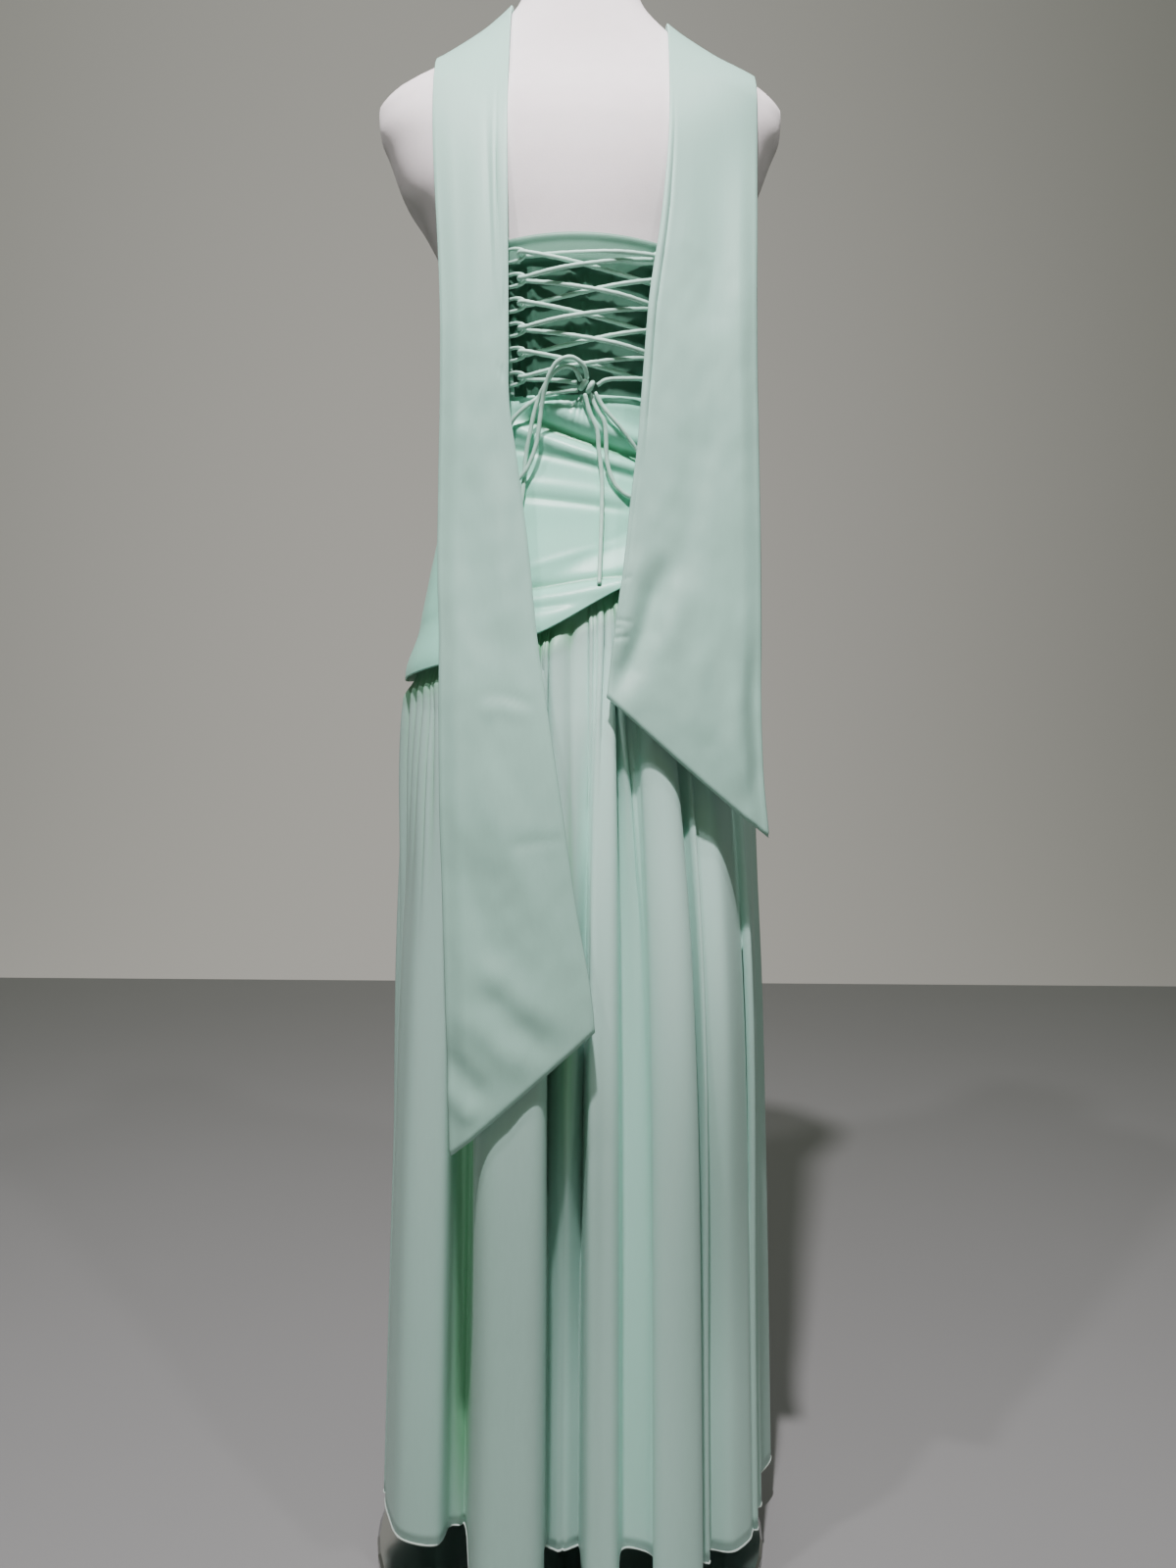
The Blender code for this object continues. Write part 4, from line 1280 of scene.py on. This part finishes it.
wraps = []
for shift, lean in WRAPS:
    middle = behind(*KNOT) + Vector((shift, -0.0006, -shift * 0.35))
    long_way = Vector((sin(lean), 0.0, cos(lean))) * WRAP_HALF_LENGTH
    outward = Vector((0, -1, 0)) * WRAP_HALF_DEPTH
    turns = [2 * pi * k / 24 for k in range(24)]
    wraps.append([middle + long_way * cos(a) + outward * sin(a) for a in turns])
knot = rouleau("lace_knot_wraps", ["lace_knot"], wraps, WRAP, lace_satin, closed=True)


def strand(node, route):
    """Free strand of the lace, as long as its own line."""
    points = flow([behind(*c) for c in route], STRAND_STEP)
    length = lengths_along(points)[-1]
    item = rouleau(node + "_tube", [node], [points], LACE, lace_satin)
    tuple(points[0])


strand("lace_bow_left", BOW_LEFT)
strand("lace_bow_right", BOW_RIGHT)
strand("lace_tail_left", TAIL_LEFT)
strand("lace_tail_right", TAIL_RIGHT)


# Floor, backdrop and light
# A plain pale floor, a softly glowing wall, three small ceiling lamps above the camera and a
# faint green fill from behind it, for the light that mint cloth throws from fold to fold.

FLOOR = (0.35, 0.345, 0.355)
FLOOR_DARKER = 0.94
WALL = (0.34, 0.325, 0.305)
WALL_GLOW = 0.85
WALL_BRIGHT_X = -0.7
WALL_FADES_OVER = 4.2
WALL_DARKER = 0.3
ROOM = 12.0
WALL_Y = 3.4
WALL_TURN = 1.0
TURN_STEPS = 16
LAMP_AIM_HEIGHT = 1.0
LAMP_REACH = 1.75
LAMP_SIZE = 0.07
LAMP_COLOR = (1.0, 0.955, 0.965)
LAMPS = (
    ("lamp_middle", (-0.09, -1.15, 1.78), 53.0),
    ("lamp_left", (-0.74, -1.05, 1.85), 11.0),
    ("lamp_right", (0.7, -1.06, 1.85), 6.0),
)
AIR_COLOR = (1.0, 0.98, 0.98)
AIR = 0.07
FILL_COLOR = (0.22, 1.0, 0.06)
FILL = 0.16
FILL_TILT = 60
FILL_SPREAD = 120

floor_finish = Finish("floor", Roughness=0.7)
worn = tuple(FLOOR_DARKER * c for c in FLOOR)
floor_finish.set("Base Color", floor_finish.blend(floor_finish.noise(0.6, 3.0), FLOOR, worn))
# The backdrop's glow is painted light: strongest about WALL_BRIGHT_X and fading to a dimmer glow
# towards the sides.
wall_finish = Finish("backdrop", Base_Color=WALL, Roughness=0.9)
aside = wall_finish.maths("ABSOLUTE", wall_finish.axis(0) - WALL_BRIGHT_X)
fade = wall_finish.node(
    "ShaderNodeMapRange", {"interpolation_type": "SMOOTHSTEP"},
    {0: aside, 1: 0.0, 2: WALL_FADES_OVER},
)
dim = tuple(WALL_DARKER * c for c in WALL)
wall_finish.set("Emission Color", wall_finish.blend(fade, WALL, dim))
wall_finish.set("Emission Strength", WALL_GLOW)

profile = [(-ROOM / 2, 0.0), (WALL_Y - WALL_TURN, 0.0)]
for step in range(1, TURN_STEPS + 1):
    a = pi / 2 * step / TURN_STEPS
    profile.append((WALL_Y - WALL_TURN + WALL_TURN * sin(a), WALL_TURN * (1 - cos(a))))
profile.append((WALL_Y, ROOM / 2))
bm = bmesh.new()
bmesh.ops.create_grid(bm, x_segments=1, y_segments=len(profile) - 1, size=0.5)
for vertex in bm.verts:
    y, z = profile[round((vertex.co.y + 0.5) * (len(profile) - 1))]
    vertex.co = (ROOM * vertex.co.x, y, z - 0.0005)
for face in bm.faces:
    face.smooth = True
    face.material_index = int(face.calc_center_median().y > WALL_Y - 0.9 * WALL_TURN)
room = add_mesh("room", bm, floor_finish.material, wall_finish.material)

for name, toward, power in LAMPS:
    lamp_data = bpy.data.lights.new(name, "AREA")
    lamp_data.shape = "DISK"
    lamp_data.size = LAMP_SIZE
    lamp_data.energy = power
    lamp_data.color = LAMP_COLOR
    lamp = add_item(name, lamp_data)
    aim = Vector(toward).normalized()
    lamp.location = Vector((0, 0, LAMP_AIM_HEIGHT)) + aim * LAMP_REACH
    lamp.rotation_euler = aim.to_track_quat("Z", "Y").to_euler()

fill_data = bpy.data.lights.new("fill", "SUN")
fill_data.energy = FILL
fill_data.color = FILL_COLOR
fill_data.angle = radians(FILL_SPREAD)
fill = add_item("fill", fill_data)
fill.rotation_euler = (radians(FILL_TILT), 0.0, 0.0)

world = bpy.data.worlds.new("air")
world.use_nodes = True
background = world.node_tree.nodes["Background"]
background.inputs["Color"].default_value = (*AIR_COLOR, 1.0)
background.inputs["Strength"].default_value = AIR
bpy.context.scene.world = world
